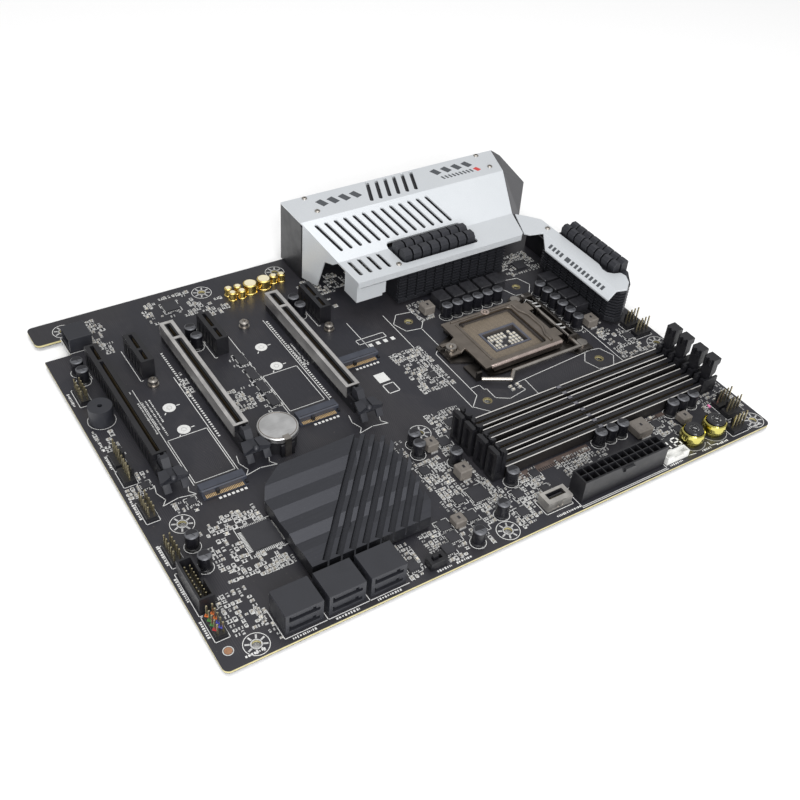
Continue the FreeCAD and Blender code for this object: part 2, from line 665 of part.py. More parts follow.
def shroud_end_wall():
    """Dark plastic wall that closes the cover's near end, with a rib under the flat top."""
    wall = block(-1.5, ridge_x + 0.8, cover_y0, cover_y0 + 1.6, 0.3, cover_top - sheet)
    wall = wall.cut(block(ridge_x - 0.2, ridge_x + 1.0, cover_y0 - 1, cover_y0 + 2, cover_top - 2.4, cover_top))
    rib = block(ridge_x - 2.0, ridge_x - 0.4, cover_y0 + 1.6, 289.0, cover_top - 4.0, cover_top - sheet)
    foot = block(0.5, ridge_x - 1.0, cover_y0 + 1.6, cover_y0 + 4.6, 0.3, 1.8)
    return wall.fuse([rib, foot]).removeSplitter()


def shroud_end_cap():
    """Faceted dark cap over the cover's far end."""
    def facets(inset):
        a = (-1.5 + inset, 299.3, cover_top - inset)
        b = (5.0, 301.6 - inset, cover_top - 1.0 - inset)
        c = (28.0 - inset, 304.6 - inset, 28.6 - inset)
        d = (52.6 - 2 * inset, 283.0 - inset, 24.6 - inset)
        e = (50.0 - inset, 279.9, 24.4 - inset)
        f = (ridge_x, 291.2, cover_top - 0.6 - inset)
        low = 0.3
        return [a, b, c, d, e, f], low

    def solid(inset):
        (a, b, c, d, e, f), low = facets(inset)
        ground = [(p[0], p[1], low) for p in (a, b, c, d, e, f)]
        ring = [a, b, c, d, e, f]
        top = [[a, b, f], [b, c, f], [f, c, d], [f, d, e]]
        sides = []
        for i in range(6):
            j = (i + 1) % 6
            sides.append([ring[i], ring[j], ground[j], ground[i]])
        return polyhedron(top + sides + [ground])
    outer = solid(0)
    hollow = solid(1.6)
    hollow.translate(V(0, -0.6, -0.2))
    keep = outer.cut(hollow)
    legs_off = block(-3, 60, 270, 310, 0, 16.0)
    screw_clear = centred(mount_x[1], mount_y[3], 12, 12, 0, 16.0)
    return keep.cut([legs_off, screw_clear])


def top_bar():
    """Second folded sheet: bridge from the cover, flat bar, sloping front lip and a hooked end."""
    outline = [(51.6, 280.6), (56.0, 285.4), (63.6, 291.4), (78.0, 291.4), (117.0, 291.4), (121.6, 289.8),
               (125.0, 290.2), (127.6, 292.8), (129.0, 297.0), (132.6, 297.6), (138.2, 294.8), (142.9, 289.4),
               (141.4, 283.0), (76.0, 283.0), (74.0, 274.6), (71.2, 272.4)]
    flat = prism(outline, shelf_top - sheet, shelf_top)
    lip = bar_lip()
    return flat.fuse(lip).removeSplitter()


def bar_lip():
    """Sloping lip of the second bar, with clipped lower corners."""
    high, low = shelf_top, 19.8
    outline = [(76.0, 0.0), (85.0, 1.0), (141.0, 1.0), (141.4, 0.0)]

    def point(x, t, lift):
        return V(x, 283.0 - 4.7 * t, high - (high - low) * t + lift)
    wire = Part.makePolygon([point(x, t, -sheet) for x, t in outline + outline[:1]])
    return Part.Face(wire).extrude(V(0, 0, sheet))


def cover_screws():
    """Small pan-head screws that hold both covers."""
    places = [(0.6, 165.2, cover_top), (16.0, 165.2, cover_top), (0.6, 286.2, cover_top),
              (15.6, 286.0, cover_top),
              (66.2, 189.0, shelf_top), (73.4, 288.4, shelf_top)]
    screws = []
    for x, y, z in places:
        head = revolve([(0, z), (1.6, z), (1.6, z + 0.4), (1.1, z + 0.8), (0, z + 0.8)], x, y)
        slot = [centred(x, y, 1.6, 0.35, z + 0.4, z + 0.8), centred(x, y, 0.35, 1.6, z + 0.4, z + 0.8)]
        screws.append(head.cut(slot))
    return group(screws)


# ---- rear connectors ----------------------------------------------------------------
port_face = -rear_overhang


def usb_cell(y, z):
    """Cavity of one flat USB port, with its tongue left standing."""
    cavity = block(port_face, port_face + 12, y - 6.0, y + 6.0, z - 2.3, z + 2.3)
    tongue = block(port_face + 1.0, port_face + 12, y - 5.4, y + 5.4, z + 0.2, z + 2.0)
    return cavity.cut(tongue)


def usb_stack(y, count, height):
    """Shell with flat USB ports one above the other."""
    shell = block(port_face, 20.0, y - 7.2, y + 7.2, 0, height)
    first = 5.0
    return shell.cut([usb_cell(y, first + i * 8.4) for i in range(count)])


def rear_usb_ports():
    return group([usb_stack(283.0, 2, 18.0), usb_stack(266.0, 2, 18.0), usb_stack(231.0, 3, 26.6)])


def rear_lan_port():
    """Network jack over two USB ports."""
    y = 212.5
    shell = block(port_face, 22.0, y - 8.2, y + 8.2, 0, 29.0)
    jack = block(port_face, port_face + 13, y - 5.9, y + 5.9, 18.6, 25.4)
    latch_way = block(port_face, port_face + 9, y - 3.1, y + 3.1, 25.4, 27.6)
    return shell.cut([usb_cell(y, 4.6), usb_cell(y, 12.6), jack, latch_way])


def rear_display_ports():
    """Two flat display sockets stacked in one shell."""
    y = 249.0
    shell = block(port_face, 16.0, y - 8.6, y + 8.6, 0, 22.0)
    for z in (5.4, 14.6):
        mouth = block(port_face, port_face + 10, y - 7.4, y + 7.4, z - 2.6, z + 2.6)
        blade = block(port_face + 1.0, port_face + 10, y - 5.8, y + 5.8, z - 0.8, z + 0.4)
        shell = shell.cut(mouth.cut(blade))
    return shell


audio_jack_r = 1.8


def rear_audio_jacks():
    """Six round jacks in two columns of a black housing."""
    housing = block(-0.6, 20.0, 158.0, 186.0, 0, 32.0)
    rings = []
    bores = []
    for y in (165.2, 178.8):
        for z in (6.2, 16.6, 27.0):
            rings.append(Part.makeCylinder(3.9, 1.4, V(port_face, y, z), X))
            bores.append(Part.makeCylinder(audio_jack_r, 14.0, V(port_face, y, z), X))
    return housing.fuse(rings).cut(bores).removeSplitter()


# ---- front edge connectors ----------------------------------------------------------
def sata_block(y):
    """Two right-angle drive ports, one above the other."""
    x0, x1 = 225.2, 239.8
    shape = block(x0, x1, y, y + 17.4, 0, 12.0)
    for z in (3.3, 9.0):
        cavity = block(x1 - 6.0, x1, y + 1.8, y + 15.6, z - 1.6, z + 1.6)
        key = block(x1 - 6.0, x1, y + 13.8, y + 15.6, z + 0.2, z + 1.6)
        tongue = block(x1 - 6.0, x1 - 0.8, y + 2.9, y + 12.9, z - 0.4, z + 0.7)
        shape = shape.cut(cavity.cut([key, tongue]))
    return shape


def sata_ports():
    return group([sata_block(28.2 + i * 19.8) for i in range(3)])


def power_block(x0, y0, cells_x, cells_y, height):
    """Power header: a block with a grid of square cells."""
    wall = 0.6
    size_x = cells_x * power_pitch + 2 * wall
    size_y = cells_y * power_pitch + 2 * wall
    shape = block(x0, x0 + size_x, y0, y0 + size_y, 0, height)
    cells = []
    for i in range(cells_x):
        for j in range(cells_y):
            cx = x0 + wall + (i + 0.5) * power_pitch
            cy = y0 + wall + (j + 0.5) * power_pitch
            cells.append(centred(cx, cy, 3.6, 3.6, 4.0, height))
    return shape.cut(cells)


def atx_power_connector():
    """Main power header with its latch ramp on the outer face."""
    x0, y0, height = 230.7, 181.2, 13.0
    shape = power_block(x0, y0, 2, 12, height)
    face = x0 + 2 * power_pitch + 1.2
    ramp = prism_along_y([(face, 9.2), (face + 1.5, 10.6), (face + 1.5, 12.4), (face, 12.4)], 204.4, 210.4)
    return shape.fuse(ramp).removeSplitter()


def eps_power_connector():
    """Processor power header at the far edge, latch ramp towards the edge."""
    x0, y0, height = 52.0, 292.4, 13.0
    shape = power_block(x0, y0, 4, 2, height)
    face = y0 + 2 * power_pitch + 1.2
    ramp = prism_along_x([(face, 9.2), (face + 1.2, 10.6), (face + 1.2, 12.4), (face, 12.4)], 58.0, 63.6)
    return shape.fuse(ramp).removeSplitter()


def usb3_header():
    """Shrouded two-row header, open at the top, keyed on one long side."""
    x0, x1, y0, y1 = 190.4, 213.8, 3.2, 10.2
    shell = block(x0, x1, y0, y1, 0, 9.0)
    inside = block(x0 + 1.0, x1 - 1.0, y0 + 1.0, y1 - 1.0, 2.4, 9.0)
    key = block(200.0, 204.2, y1 - 1.0, y1, 5.0, 9.0)
    return shell.cut([inside, key])


def usb_front_connector():
    """Small steel-shelled front-panel USB socket with a black slot in its top."""
    x0, x1, y0, y1, top = 230.0, 237.8, 163.2, 177.2, 5.6
    shell = block(x0, x1, y0, y1, 0, top)
    slot = block(x0 + 1.6, x1 - 2.6, y0 + 2.2, y1 - 2.2, 1.6, top)
    blade = block(x0 + 3.0, x0 + 3.8, y0 + 3.2, y1 - 3.2, 1.6, top - 1.0)
    windows = [block(x1 - 0.3, x1, y, y + 1.0, 1.2, 4.2) for y in (168.4, 171.0)]
    return shell.cut([slot.cut(blade)] + windows)


def probe_header():
    """White open-topped header beside the main power connector."""
    x0, x1, y0, y1, top = 236.6, 241.0, 234.6, 248.8, 4.2
    shell = block(x0, x1, y0, y1, 0, top)
    inside = block(x0 + 0.7, x1 - 0.7, y0 + 0.7, y1 - 0.7, 1.2, top)
    gate = block(x1 - 0.7, x1, y0 + 4.0, y1 - 4.0, 2.6, top)
    return shell.cut([inside, gate])


# ---- pin headers --------------------------------------------------------------------
header_base_h = 2.5
pin_side = 0.64
# middle x, middle y, pins along x, pins along y, height of the pin tips
header_places = [
    (65.2, 7.2, 5, 2, 8.4),
    (151.4, 6.2, 5, 2, 8.4),
    (179.6, 6.0, 5, 2, 8.4),
    (222.2, 6.0, 5, 2, 8.4),
    (115.6, 6.2, 4, 1, 11.0),
    (127.4, 6.0, 4, 1, 11.0),
    (145.6, 295.8, 1, 4, 11.0),
    (154.4, 295.8, 1, 4, 11.0),
    (220.8, 292.4, 1, 4, 11.0),
    (227.8, 292.2, 1, 4, 11.0),
    (238.2, 285.4, 1, 4, 11.0),
]


def header_pin_places(place):
    """Centre of every pin of one header."""
    x, y, nx, ny, tip = place
    for i in range(nx):
        for j in range(ny):
            yield x + (i - (nx - 1) / 2) * pin_pitch, y + (j - (ny - 1) / 2) * pin_pitch


def pin_headers():
    """Black bases; the single-row ones are fan headers with a guide tab behind the pins."""
    bases = []
    for place in header_places:
        x, y, nx, ny, tip = place
        size_x, size_y = nx * pin_pitch, ny * pin_pitch
        base = centred(x, y, size_x, size_y, 0, header_base_h)
        if ny == 1:
            base = centred(x, y, size_x, 5.6, 0, header_base_h)
            base = base.fuse(block(x - 2.6, x + 2.6, y + 1.8, y + 2.8, header_base_h, 7.0))
        if nx == 1:
            base = centred(x, y, 5.6, size_y, 0, header_base_h)
            base = base.fuse(block(x - 2.8, x - 1.8, y - 2.6, y + 2.6, header_base_h, 7.0))
        bases.append(base.removeSplitter())
    return group(bases)


def header_pins():
    pins = []
    for place in header_places:
        for x, y in header_pin_places(place):
            pins.append(centred(x, y, pin_side, pin_side, header_base_h, place[4]))
    for i in range(9):
        for y in (5.5, 7.9):
            pins.append(centred(194.0 + i * 2.0, y, 0.5, 0.5, 2.4, 7.4))
    return group(pins)


def audio_header():
    """Right-angle front-panel socket whose mouth faces the notch."""
    shape = block(16.0, 29.4, 14.0, 26.0, 0, 8.2)
    mouth = block(17.2, 28.2, 14.0, 21.0, 1.4, 7.0)
    return shape.cut(mouth)


# ---- buttons, switch, display -------------------------------------------------------
button_centres = {"power": (233.3, 273.1), "reset": (233.3, 257.9)}
button_r = 4.9
button_top = 8.6


def button_housings():
    """Bulged round housings, each open in the middle for its button."""
    housings = []
    for x, y in button_centres.values():
        ring = revolve([(5.2, 0), (5.9, 1.4), (6.3, 3.4), (6.2, 5.4), (5.8, 6.9), (5.3, 7.4),
                        (5.3, 2.0), (2.0, 2.0), (2.0, 0)], x, y)
        housings.append(ring)
    return group(housings)


def push_button(name):
    """Round cap on a stem, with a shallow ring groove in its face."""
    x, y = button_centres[name]
    profile = [(0, 2.6), (1.4, 2.6), (1.4, 5.6), (button_r, 5.6), (button_r, 8.1), (button_r - 0.5, button_top),
               (2.6, button_top), (2.5, button_top - 0.3), (1.9, button_top - 0.3), (1.8, button_top),
               (0, button_top)]
    return revolve(profile, x, y)


switch_x = (235.4, 240.6)
switch_y = (97.4, 105.8)


def bios_switch():
    """Slide switch body with a slot in its top."""
    body = block(*switch_x, *switch_y, 0, 4.6)
    slot = block(237.0, 239.0, 99.2, 104.0, 2.6, 4.6)
    return body.cut(slot)


def bios_switch_slider():
    return block(237.15, 238.85, 99.4, 101.9, 2.7, 6.4)


def segment_display():
    """Two-digit display: a flat black block with the bars of both digits raised a little."""
    top = 2.4
    body = block(227.8, 236.4, 237.4, 251.4, 0, top)
    bars = []
    for y in (241.3, 248.2):
        for x in (229.6, 232.4, 235.2):
            bars.append(centred(x, y, 0.8, 2.6, top, top + 0.15))
        for x in (231.0, 233.8):
            for side in (-1, 1):
                bars.append(centred(x, y + side * 1.9, 1.8, 0.8, top, top + 0.15))
    return group([body] + bars)


# ---- loose components ---------------------------------------------------------------
polymer_caps = (
    [(91.5, 206.3 + i * 6.95) for i in range(6)]
    + [(98.3 + i * 6.95, 266.6) for i in range(6)]
    + [(213.0, 214.9 + i * 7.1) for i in range(3)]
    + [(213.2, 262.9 + i * 7.0) for i in range(3)]
    + [(x, y) for y in (12.0, 73.0, 134.0) for x in (46.4, 54.2)]
    + [(170.6, 133.4), (177.6, 131.8), (190.4, 144.3), (213.6, 160.4), (228.4, 144.0), (236.6, 125.0),
       (179.3, 15.2), (192.3, 15.2)]
)


def capacitor(x, y, r, height):
    """Can on a black foot, with a rolled neck and a crowned top."""
    neck = 1.1
    profile = [(0, 0), (r + 0.15, 0), (r + 0.15, neck - 0.3), (r, neck - 0.2), (r - 0.25, neck), (r - 0.25, neck + 0.4),
               (r, neck + 0.6), (r, height - 0.5), (r - 0.5, height), (0, height)]
    return revolve(profile, x, y)


def capacitors():
    return group([capacitor(x, y, 3.1, 8.5) for x, y in polymer_caps])


def gold_capacitors():
    """Audio capacitors beside the rear jacks."""
    large = [capacitor(x, y, 3.9, 6.2) for x, y in [(21.6, 119.8), (21.0, 128.6)]]
    small_places = [(19.4, 107.4), (24.2, 107.8), (19.8, 112.9), (24.6, 113.3), (19.4, 135.4), (19.8, 140.2)]
    return group(large + [capacitor(x, y, 2.15, 5.4) for x, y in small_places])


def choke(x, y, size_x, size_y, height):
    """Moulded coil: a chamfered block on two end terminals."""
    body = centred(x, y, size_x, size_y, 0.3, height)
    body = body.makeChamfer(0.5, body.Edges)
    feet = [block(x + s * size_x / 2 - 0.6, x + s * size_x / 2 + 0.6, y - size_y * 0.3, y + size_y * 0.3, 0, 1.4)
            for s in (-1, 1)]
    return body.fuse(feet).removeSplitter()


def vrm_chokes():
    rear = [choke(80.4, 210.0 + i * 9.5, 10.0, 7.8, 7.0) for i in range(5)]
    top = [choke(92.4 + i * 9.5, 277.0, 7.8, 9.6, 7.0) for i in range(4)]
    return group(rear + top)


def beige_chokes():
    places = [(82.8, 199.0, 7.0, 5.4), (134.4, 275.0, 7.0, 5.4), (176.4, 139.4, 6.2, 5.0), (199.0, 142.6, 6.8, 6.0),
              (223.2, 123.4, 6.0, 4.2), (220.6, 265.0, 6.2, 4.5), (216.0, 239.0, 9.6, 5.0)]
    return group([choke(x, y, s, s, h) for x, y, s, h in places])


# middle x, middle y, size along x, size along y, height
chip_places = [
    (188.0, 43.6, 14.0, 14.0, 1.4), (15.4, 74.6, 8.0, 8.0, 1.2), (69.0, 275.0, 7.0, 7.0, 1.0),
    (74.4, 88.6, 9.0, 4.6, 1.0), (87.6, 88.6, 9.0, 4.6, 1.0), (98.8, 88.6, 9.0, 4.6, 1.0), (110.2, 88.6, 9.0, 4.6, 1.0),
    (212.4, 142.0, 9.0, 9.0, 1.1), (211.6, 131.9, 4.6, 5.0, 1.3), (188.6, 128.2, 4.6, 5.0, 1.3),
    (221.4, 158.4, 5.0, 5.0, 1.0), (231.6, 153.6, 5.0, 5.0, 1.0), (221.4, 116.8, 5.6, 5.6, 1.1),
    (228.8, 116.6, 5.6, 5.6, 1.1), (222.4, 131.0, 5.6, 5.6, 1.1), (229.4, 131.6, 5.0, 5.0, 1.1),
    (176.0, 147.6, 5.6, 5.6, 1.1), (166.0, 158.4, 5.2, 5.2, 1.0), (214.4, 173.6, 4.4, 4.4, 1.0),
    (225.2, 172.0, 4.4, 4.4, 1.0), (234.6, 91.6, 5.2, 5.2, 1.9), (234.0, 110.6, 5.2, 5.2, 1.9),
    (153.0, 287.6, 5.0, 5.0, 1.0), (155.0, 25.4, 4.0, 4.0, 1.0), (136.0, 11.4, 4.0, 4.0, 1.0),
    (131.0, 171.0, 4.0, 4.0, 1.0), (216.0, 250.6, 4.6, 4.6, 1.0), (224.4, 258.0, 4.2, 4.2, 1.0),
]


def chips():
    """Controllers, drivers and the power transistors under the heatsinks."""
    parts = [centred(x, y, sx, sy, 0, h) for x, y, sx, sy, h in chip_places]
    parts += [block(60.0, 66.0, y, y + 6.0, 0, 1.0) for y in [206.2 + i * 9.4 for i in range(5)]]
    parts += [block(x, x + 6.0, 287.0, 293.0, 0, 1.0) for x in [89.4 + i * 9.4 for i in range(4)]]
    chipset = centred(190, 86, 24, 23, 0, pch_low)
    return group(parts + [chipset])


coin_x, coin_y = 137.9, 77.2
coin_r = 10.0


def battery_holder():
    """Raised round seat with a spring clip post at its side."""
    seat = rod(coin_x, coin_y, 9.2, 0, 7.2)
    post = block(coin_x + 7.4, coin_x + 10.9, coin_y - 3.4, coin_y + 3.4, 0, 7.2)
    return seat.fuse(post).removeSplitter()


def battery_clip():
    """Bent strip that holds the cell against its seat."""
    x = coin_x + coin_r
    strip = block(x + 0.95, x + 1.35, coin_y - 1.6, coin_y + 1.6, 0.2, 11.0)
    return strip.fuse(block(x - 2.2, x + 1.35, coin_y - 1.6, coin_y + 1.6, 10.6, 11.0)).removeSplitter()


def coin_cell():
    profile = [(0, 7.3), (8.2, 7.3), (8.6, 7.9), (coin_r, 7.9), (coin_r, 10.1), (coin_r - 0.3, 10.5), (0, 10.5)]
    return revolve(profile, coin_x, coin_y)


def buzzer():
    body = rod(85.4, 9.8, 5.9, 0, 9.4)
    return body.cut(rod(85.4, 9.8, 1.2, 6.0, 9.4))


# ---- export -------------------------------------------------------------------------
pieces = {
    "pcb": pcb(),
    "cpu_backplate": cpu_backplate(),
    "cpu_socket_body": cpu_socket_body(),
    "socket_frame": socket_frame(),
    "socket_screws": socket_screws(),
    "socket_load_plate": socket_load_plate(),
    "socket_lever": socket_lever(),
    "dimm_slots": dimm_slots(),
    "dimm_shields": dimm_shields(),
    "pcie_x16_slots": group([pcie_x16_slot(y) for y in x16_slots_y]),
    "pcie_shields": pcie_shields(),
    "pcie_x1_slots": pcie_x1_slots(),
    "m2_connectors": m2_connectors(),
    "m2_standoffs": m2_standoffs(),
    "m2_screws": m2_screws(),
    "chipset_heatsink": chipset_heatsink(),
    "vrm_heatsink_rear": vrm_heatsink_rear(),
    "vrm_heatsink_top": vrm_heatsink_top(),
    "heatsink_screws": heatsink_screws(),
    "thermal_pads": thermal_pads(),
    "io_shroud": io_shroud(),
    "shroud_end_wall": shroud_end_wall(),
    "shroud_end_cap": shroud_end_cap(),
    "top_bar": top_bar(),
    "cover_screws": cover_screws(),
    "rear_usb_ports": rear_usb_ports(),
    "rear_lan_port": rear_lan_port(),
    "rear_display_ports": rear_display_ports(),
    "rear_audio_jacks": rear_audio_jacks(),
    "sata_ports": sata_ports(),
    "atx_power_connector": atx_power_connector(),
    "eps_power_connector": eps_power_connector(),
    "usb3_header": usb3_header(),
    "usb_front_connector": usb_front_connector(),
    "probe_header": probe_header(),
    "pin_headers": pin_headers(),
    "header_pins": header_pins(),
    "audio_header": audio_header(),
    "button_housings": button_housings(),
    "power_button": push_button("power"),
    "reset_button": push_button("reset"),
    "bios_switch": bios_switch(),
    "bios_switch_slider": bios_switch_slider(),
    "segment_display": segment_display(),
    "capacitors": capacitors(),
    "gold_capacitors": gold_capacitors(),
    "vrm_chokes": vrm_chokes(),
    "beige_chokes": beige_chokes(),
    "chips": chips(),
    "battery_holder": battery_holder(),
    "battery_clip": battery_clip(),
    "coin_cell": coin_cell(),
    "buzzer": buzzer(),
}
for number, x in enumerate(dimm_x, start=1):
    pieces["dimm_latch_%d" % number] = dimm_latch(x)
for number, y in enumerate(x16_slots_y, start=1):
    pieces["pcie_latch_%d" % number] = pcie_latch(y)


def export(name, shape):
    """Move a piece to the model frame and write its file."""
    placed = shape.copy()
    placed.translate(frame_shift)
    placed.exportStep("parts/" + name + ".step")


os.makedirs("parts", exist_ok=True)
for name, shape in pieces.items():
    export(name, shape)
print(len(pieces), "pieces written")
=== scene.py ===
import json
import math
import random

import bmesh
import bpy
from mathutils import Matrix, Vector


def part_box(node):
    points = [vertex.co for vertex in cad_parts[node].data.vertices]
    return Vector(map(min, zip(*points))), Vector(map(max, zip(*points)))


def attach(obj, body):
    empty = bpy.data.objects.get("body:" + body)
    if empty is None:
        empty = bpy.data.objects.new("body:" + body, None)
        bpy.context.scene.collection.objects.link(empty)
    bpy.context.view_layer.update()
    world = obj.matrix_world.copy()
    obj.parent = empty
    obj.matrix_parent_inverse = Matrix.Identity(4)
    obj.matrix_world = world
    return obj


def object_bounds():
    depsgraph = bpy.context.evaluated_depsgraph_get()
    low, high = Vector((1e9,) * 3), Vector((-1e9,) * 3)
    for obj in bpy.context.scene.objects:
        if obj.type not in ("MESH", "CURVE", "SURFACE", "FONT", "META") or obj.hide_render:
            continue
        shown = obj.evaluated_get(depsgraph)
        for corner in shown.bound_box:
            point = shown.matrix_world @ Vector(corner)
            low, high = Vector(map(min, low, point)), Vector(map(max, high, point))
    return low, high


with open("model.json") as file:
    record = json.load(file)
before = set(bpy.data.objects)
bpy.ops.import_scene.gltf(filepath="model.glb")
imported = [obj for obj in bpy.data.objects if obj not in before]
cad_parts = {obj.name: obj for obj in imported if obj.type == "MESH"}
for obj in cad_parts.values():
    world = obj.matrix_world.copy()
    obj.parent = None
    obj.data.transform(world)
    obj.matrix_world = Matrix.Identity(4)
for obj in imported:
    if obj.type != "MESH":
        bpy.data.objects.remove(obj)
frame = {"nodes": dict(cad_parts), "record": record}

# Looks for the motherboard. Places are board millimetres, as in the CAD source: x from the rear
# edge, y from the header edge, z above the component side. at() turns them into frame metres.
MM = 0.001
ROOT = "board_assembly"
cad_box = [list(corner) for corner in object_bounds()]
nodes = frame["nodes"]
board_low, board_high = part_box("pcb")
chance = random.Random(7)
same_place = MM / 1000    # points nearer than this are one point
print_high = 0.03         # printed marks stand this far above their ground
print_wide = 0.35         # usual width of a printed line
pin_pitch = 2.54          # pins of the open headers
drive_pitch = 1.27        # contacts of a drive port
power_pitch = 4.2         # cells of the power headers
power_wall = 0.6
quarters = ((-1, -1), (-1, 1), (1, -1), (1, 1))
noise_low, noise_high = 0.3, 0.7    # nearly all of a noise lies between these
looks = {}                # materials by name; a record slot takes the one of its own name


# ---- places ----
def at(x, y, z=0.0):
    """Point in the frame from board millimetres."""
    return Vector((board_low.x + x * MM, board_low.y + y * MM, board_high.z + z * MM))


class Box:
    """Board-millimetre box round some points of the frame."""

    def __init__(self, points):
        xs = [(p.x - board_low.x) / MM for p in points]
        ys = [(p.y - board_low.y) / MM for p in points]
        zs = [(p.z - board_high.z) / MM for p in points]
        self.x0, self.x1 = min(xs), max(xs)
        self.y0, self.y1 = min(ys), max(ys)
        self.z0, self.z1 = min(zs), max(zs)
        self.x = (self.x0 + self.x1) / 2
        self.y = (self.y0 + self.y1) / 2
        self.wide = self.x1 - self.x0
        self.deep = self.y1 - self.y0


def span(node):
    """Box of a whole CAD node."""
    return Box(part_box(node))


def solids(node):
    """Box of every loose solid of a CAD node, nearest the header edge first."""
    mesh = bmesh.new()
    mesh.from_mesh(nodes[node].data)
    bmesh.ops.remove_doubles(mesh, verts=mesh.verts, dist=same_place)
    for vert in mesh.verts:
        vert.tag = False
    boxes = []
    for first in mesh.verts:
        if first.tag:
            continue
        first.tag = True
        reached = [first]
        for vert in reached:
            for edge in vert.link_edges:
                other = edge.other_vert(vert)
                if not other.tag:
                    other.tag = True
                    reached.append(other)
        boxes.append(Box([vert.co for vert in reached]))
    mesh.free()
    return sorted(boxes, key=lambda b: (round(b.y, 2), round(b.x, 2)))


# ---- shader graphs ----
def tone(red, green, blue):
    """Linear colour from display values of 0 to 255."""
    return tuple(((c / 255) ** 2.2) for c in (red, green, blue)) + (1.0,)


class Graph:
    """A new material and short calls that add linked nodes to it."""

    def __init__(self, name):
        self.material = bpy.data.materials.new(name)
        self.material.use_nodes = True
        looks[name] = self.material
        self.tree = self.material.node_tree
        self.shader = self.tree.nodes["Principled BSDF"]
        self.place = self.node("ShaderNodeTexCoord").outputs["Object"]

    def node(self, kind, inputs=None, **settings):
        made = self.tree.nodes.new(kind)
        for key, value in settings.items():
            setattr(made, key, value)
        for key, value in (inputs or {}).items():
            self.feed(made.inputs[key], value)
        return made

    def feed(self, socket, value):
        """Link a value into an input; a plain value is set."""
        if isinstance(value, bpy.types.NodeSocket):
            self.tree.links.new(value, socket)
        else:
            socket.default_value = value

    def give(self, name, value):
        """Feed an input of the surface shader."""
        self.feed(self.shader.inputs[name], value)

    def math(self, operation, a, b=0.0, c=0.0):
        return self.node("ShaderNodeMath", {0: a, 1: b, 2: c}, operation=operation).outputs[0]

    def noise(self, size_mm, detail=3.0, stretch=(1.0, 1.0, 1.0)):
        """Noise whose blotches are about size_mm wide, drawn out along the axes with a low stretch."""
        place = self.node("ShaderNodeMapping", {"Vector": self.place, "Scale": stretch}).outputs[0]
        inputs = {"Vector": place, "Scale": 1 / (size_mm * MM), "Detail": detail}
        return self.node("ShaderNodeTexNoise", inputs).outputs["Fac"]

    def cells(self, scale, randomness, **settings):
        inputs = {"Vector": self.place, "Scale": scale, "Randomness": randomness}
        return self.node("ShaderNodeTexVoronoi", inputs, **settings).outputs

    def remap(self, value, low, high, to_low=0.0, to_high=1.0):
        """Smooth step from one range of values to another."""
        inputs = {0: value, 1: low, 2: high, 3: to_low, 4: to_high}
        return self.node("ShaderNodeMapRange", inputs, interpolation_type="SMOOTHSTEP").outputs[0]

    def mix(self, factor, a, b):
        inputs = {0: factor, 6: a, 7: b}
        return self.node("ShaderNodeMix", inputs, data_type="RGBA").outputs[2]

    def axes(self):
        return self.node("ShaderNodeSeparateXYZ", {0: self.place}).outputs

    def facing_up(self):
        """Upward part of the surface direction in the frame."""
        normal = self.node("ShaderNodeTexCoord").outputs["Normal"]
        return self.node("ShaderNodeSeparateXYZ", {0: normal}).outputs[2]

    def bump(self, height, strength, depth_mm):
        inputs = {"Height": height, "Strength": strength, "Distance": depth_mm * MM}
        self.give("Normal", self.node("ShaderNodeBump", inputs).outputs[0])


def shade(colour, factor):
    """Linear colour made darker or lighter."""
    return tuple(c * factor for c in colour[:3]) + (1.0,)


def finish(name, colour, rough, metal=0.0, mottle=0.1, spot_mm=6.0, grain=0.1, grain_mm=0.25,
           stretch=(1.0, 1.0, 1.0), coat=0.0):
    """Material with blotchy colour, given in display values, uneven gloss and a fine grain."""
    graph = Graph(name)
    middle = tone(*colour)
    blotch = graph.noise(spot_mm, 4.0)
    fine = graph.noise(grain_mm, 2.0, stretch)
    both = graph.math("MULTIPLY_ADD", fine, 0.4, graph.math("MULTIPLY", blotch, 0.6))
    level = graph.remap(both, noise_low, noise_high)
    graph.give("Base Color", graph.mix(level, shade(middle, 1 - mottle), shade(middle, 1 + mottle)))
    gloss = graph.remap(blotch, noise_low, noise_high, rough * 0.88, min(1.0, rough * 1.15))
    graph.give("Roughness", gloss)
    graph.give("Metallic", metal)
    graph.give("Coat Weight", coat)
    graph.give("Coat Roughness", 0.12)
    graph.bump(fine, grain, 0.05)


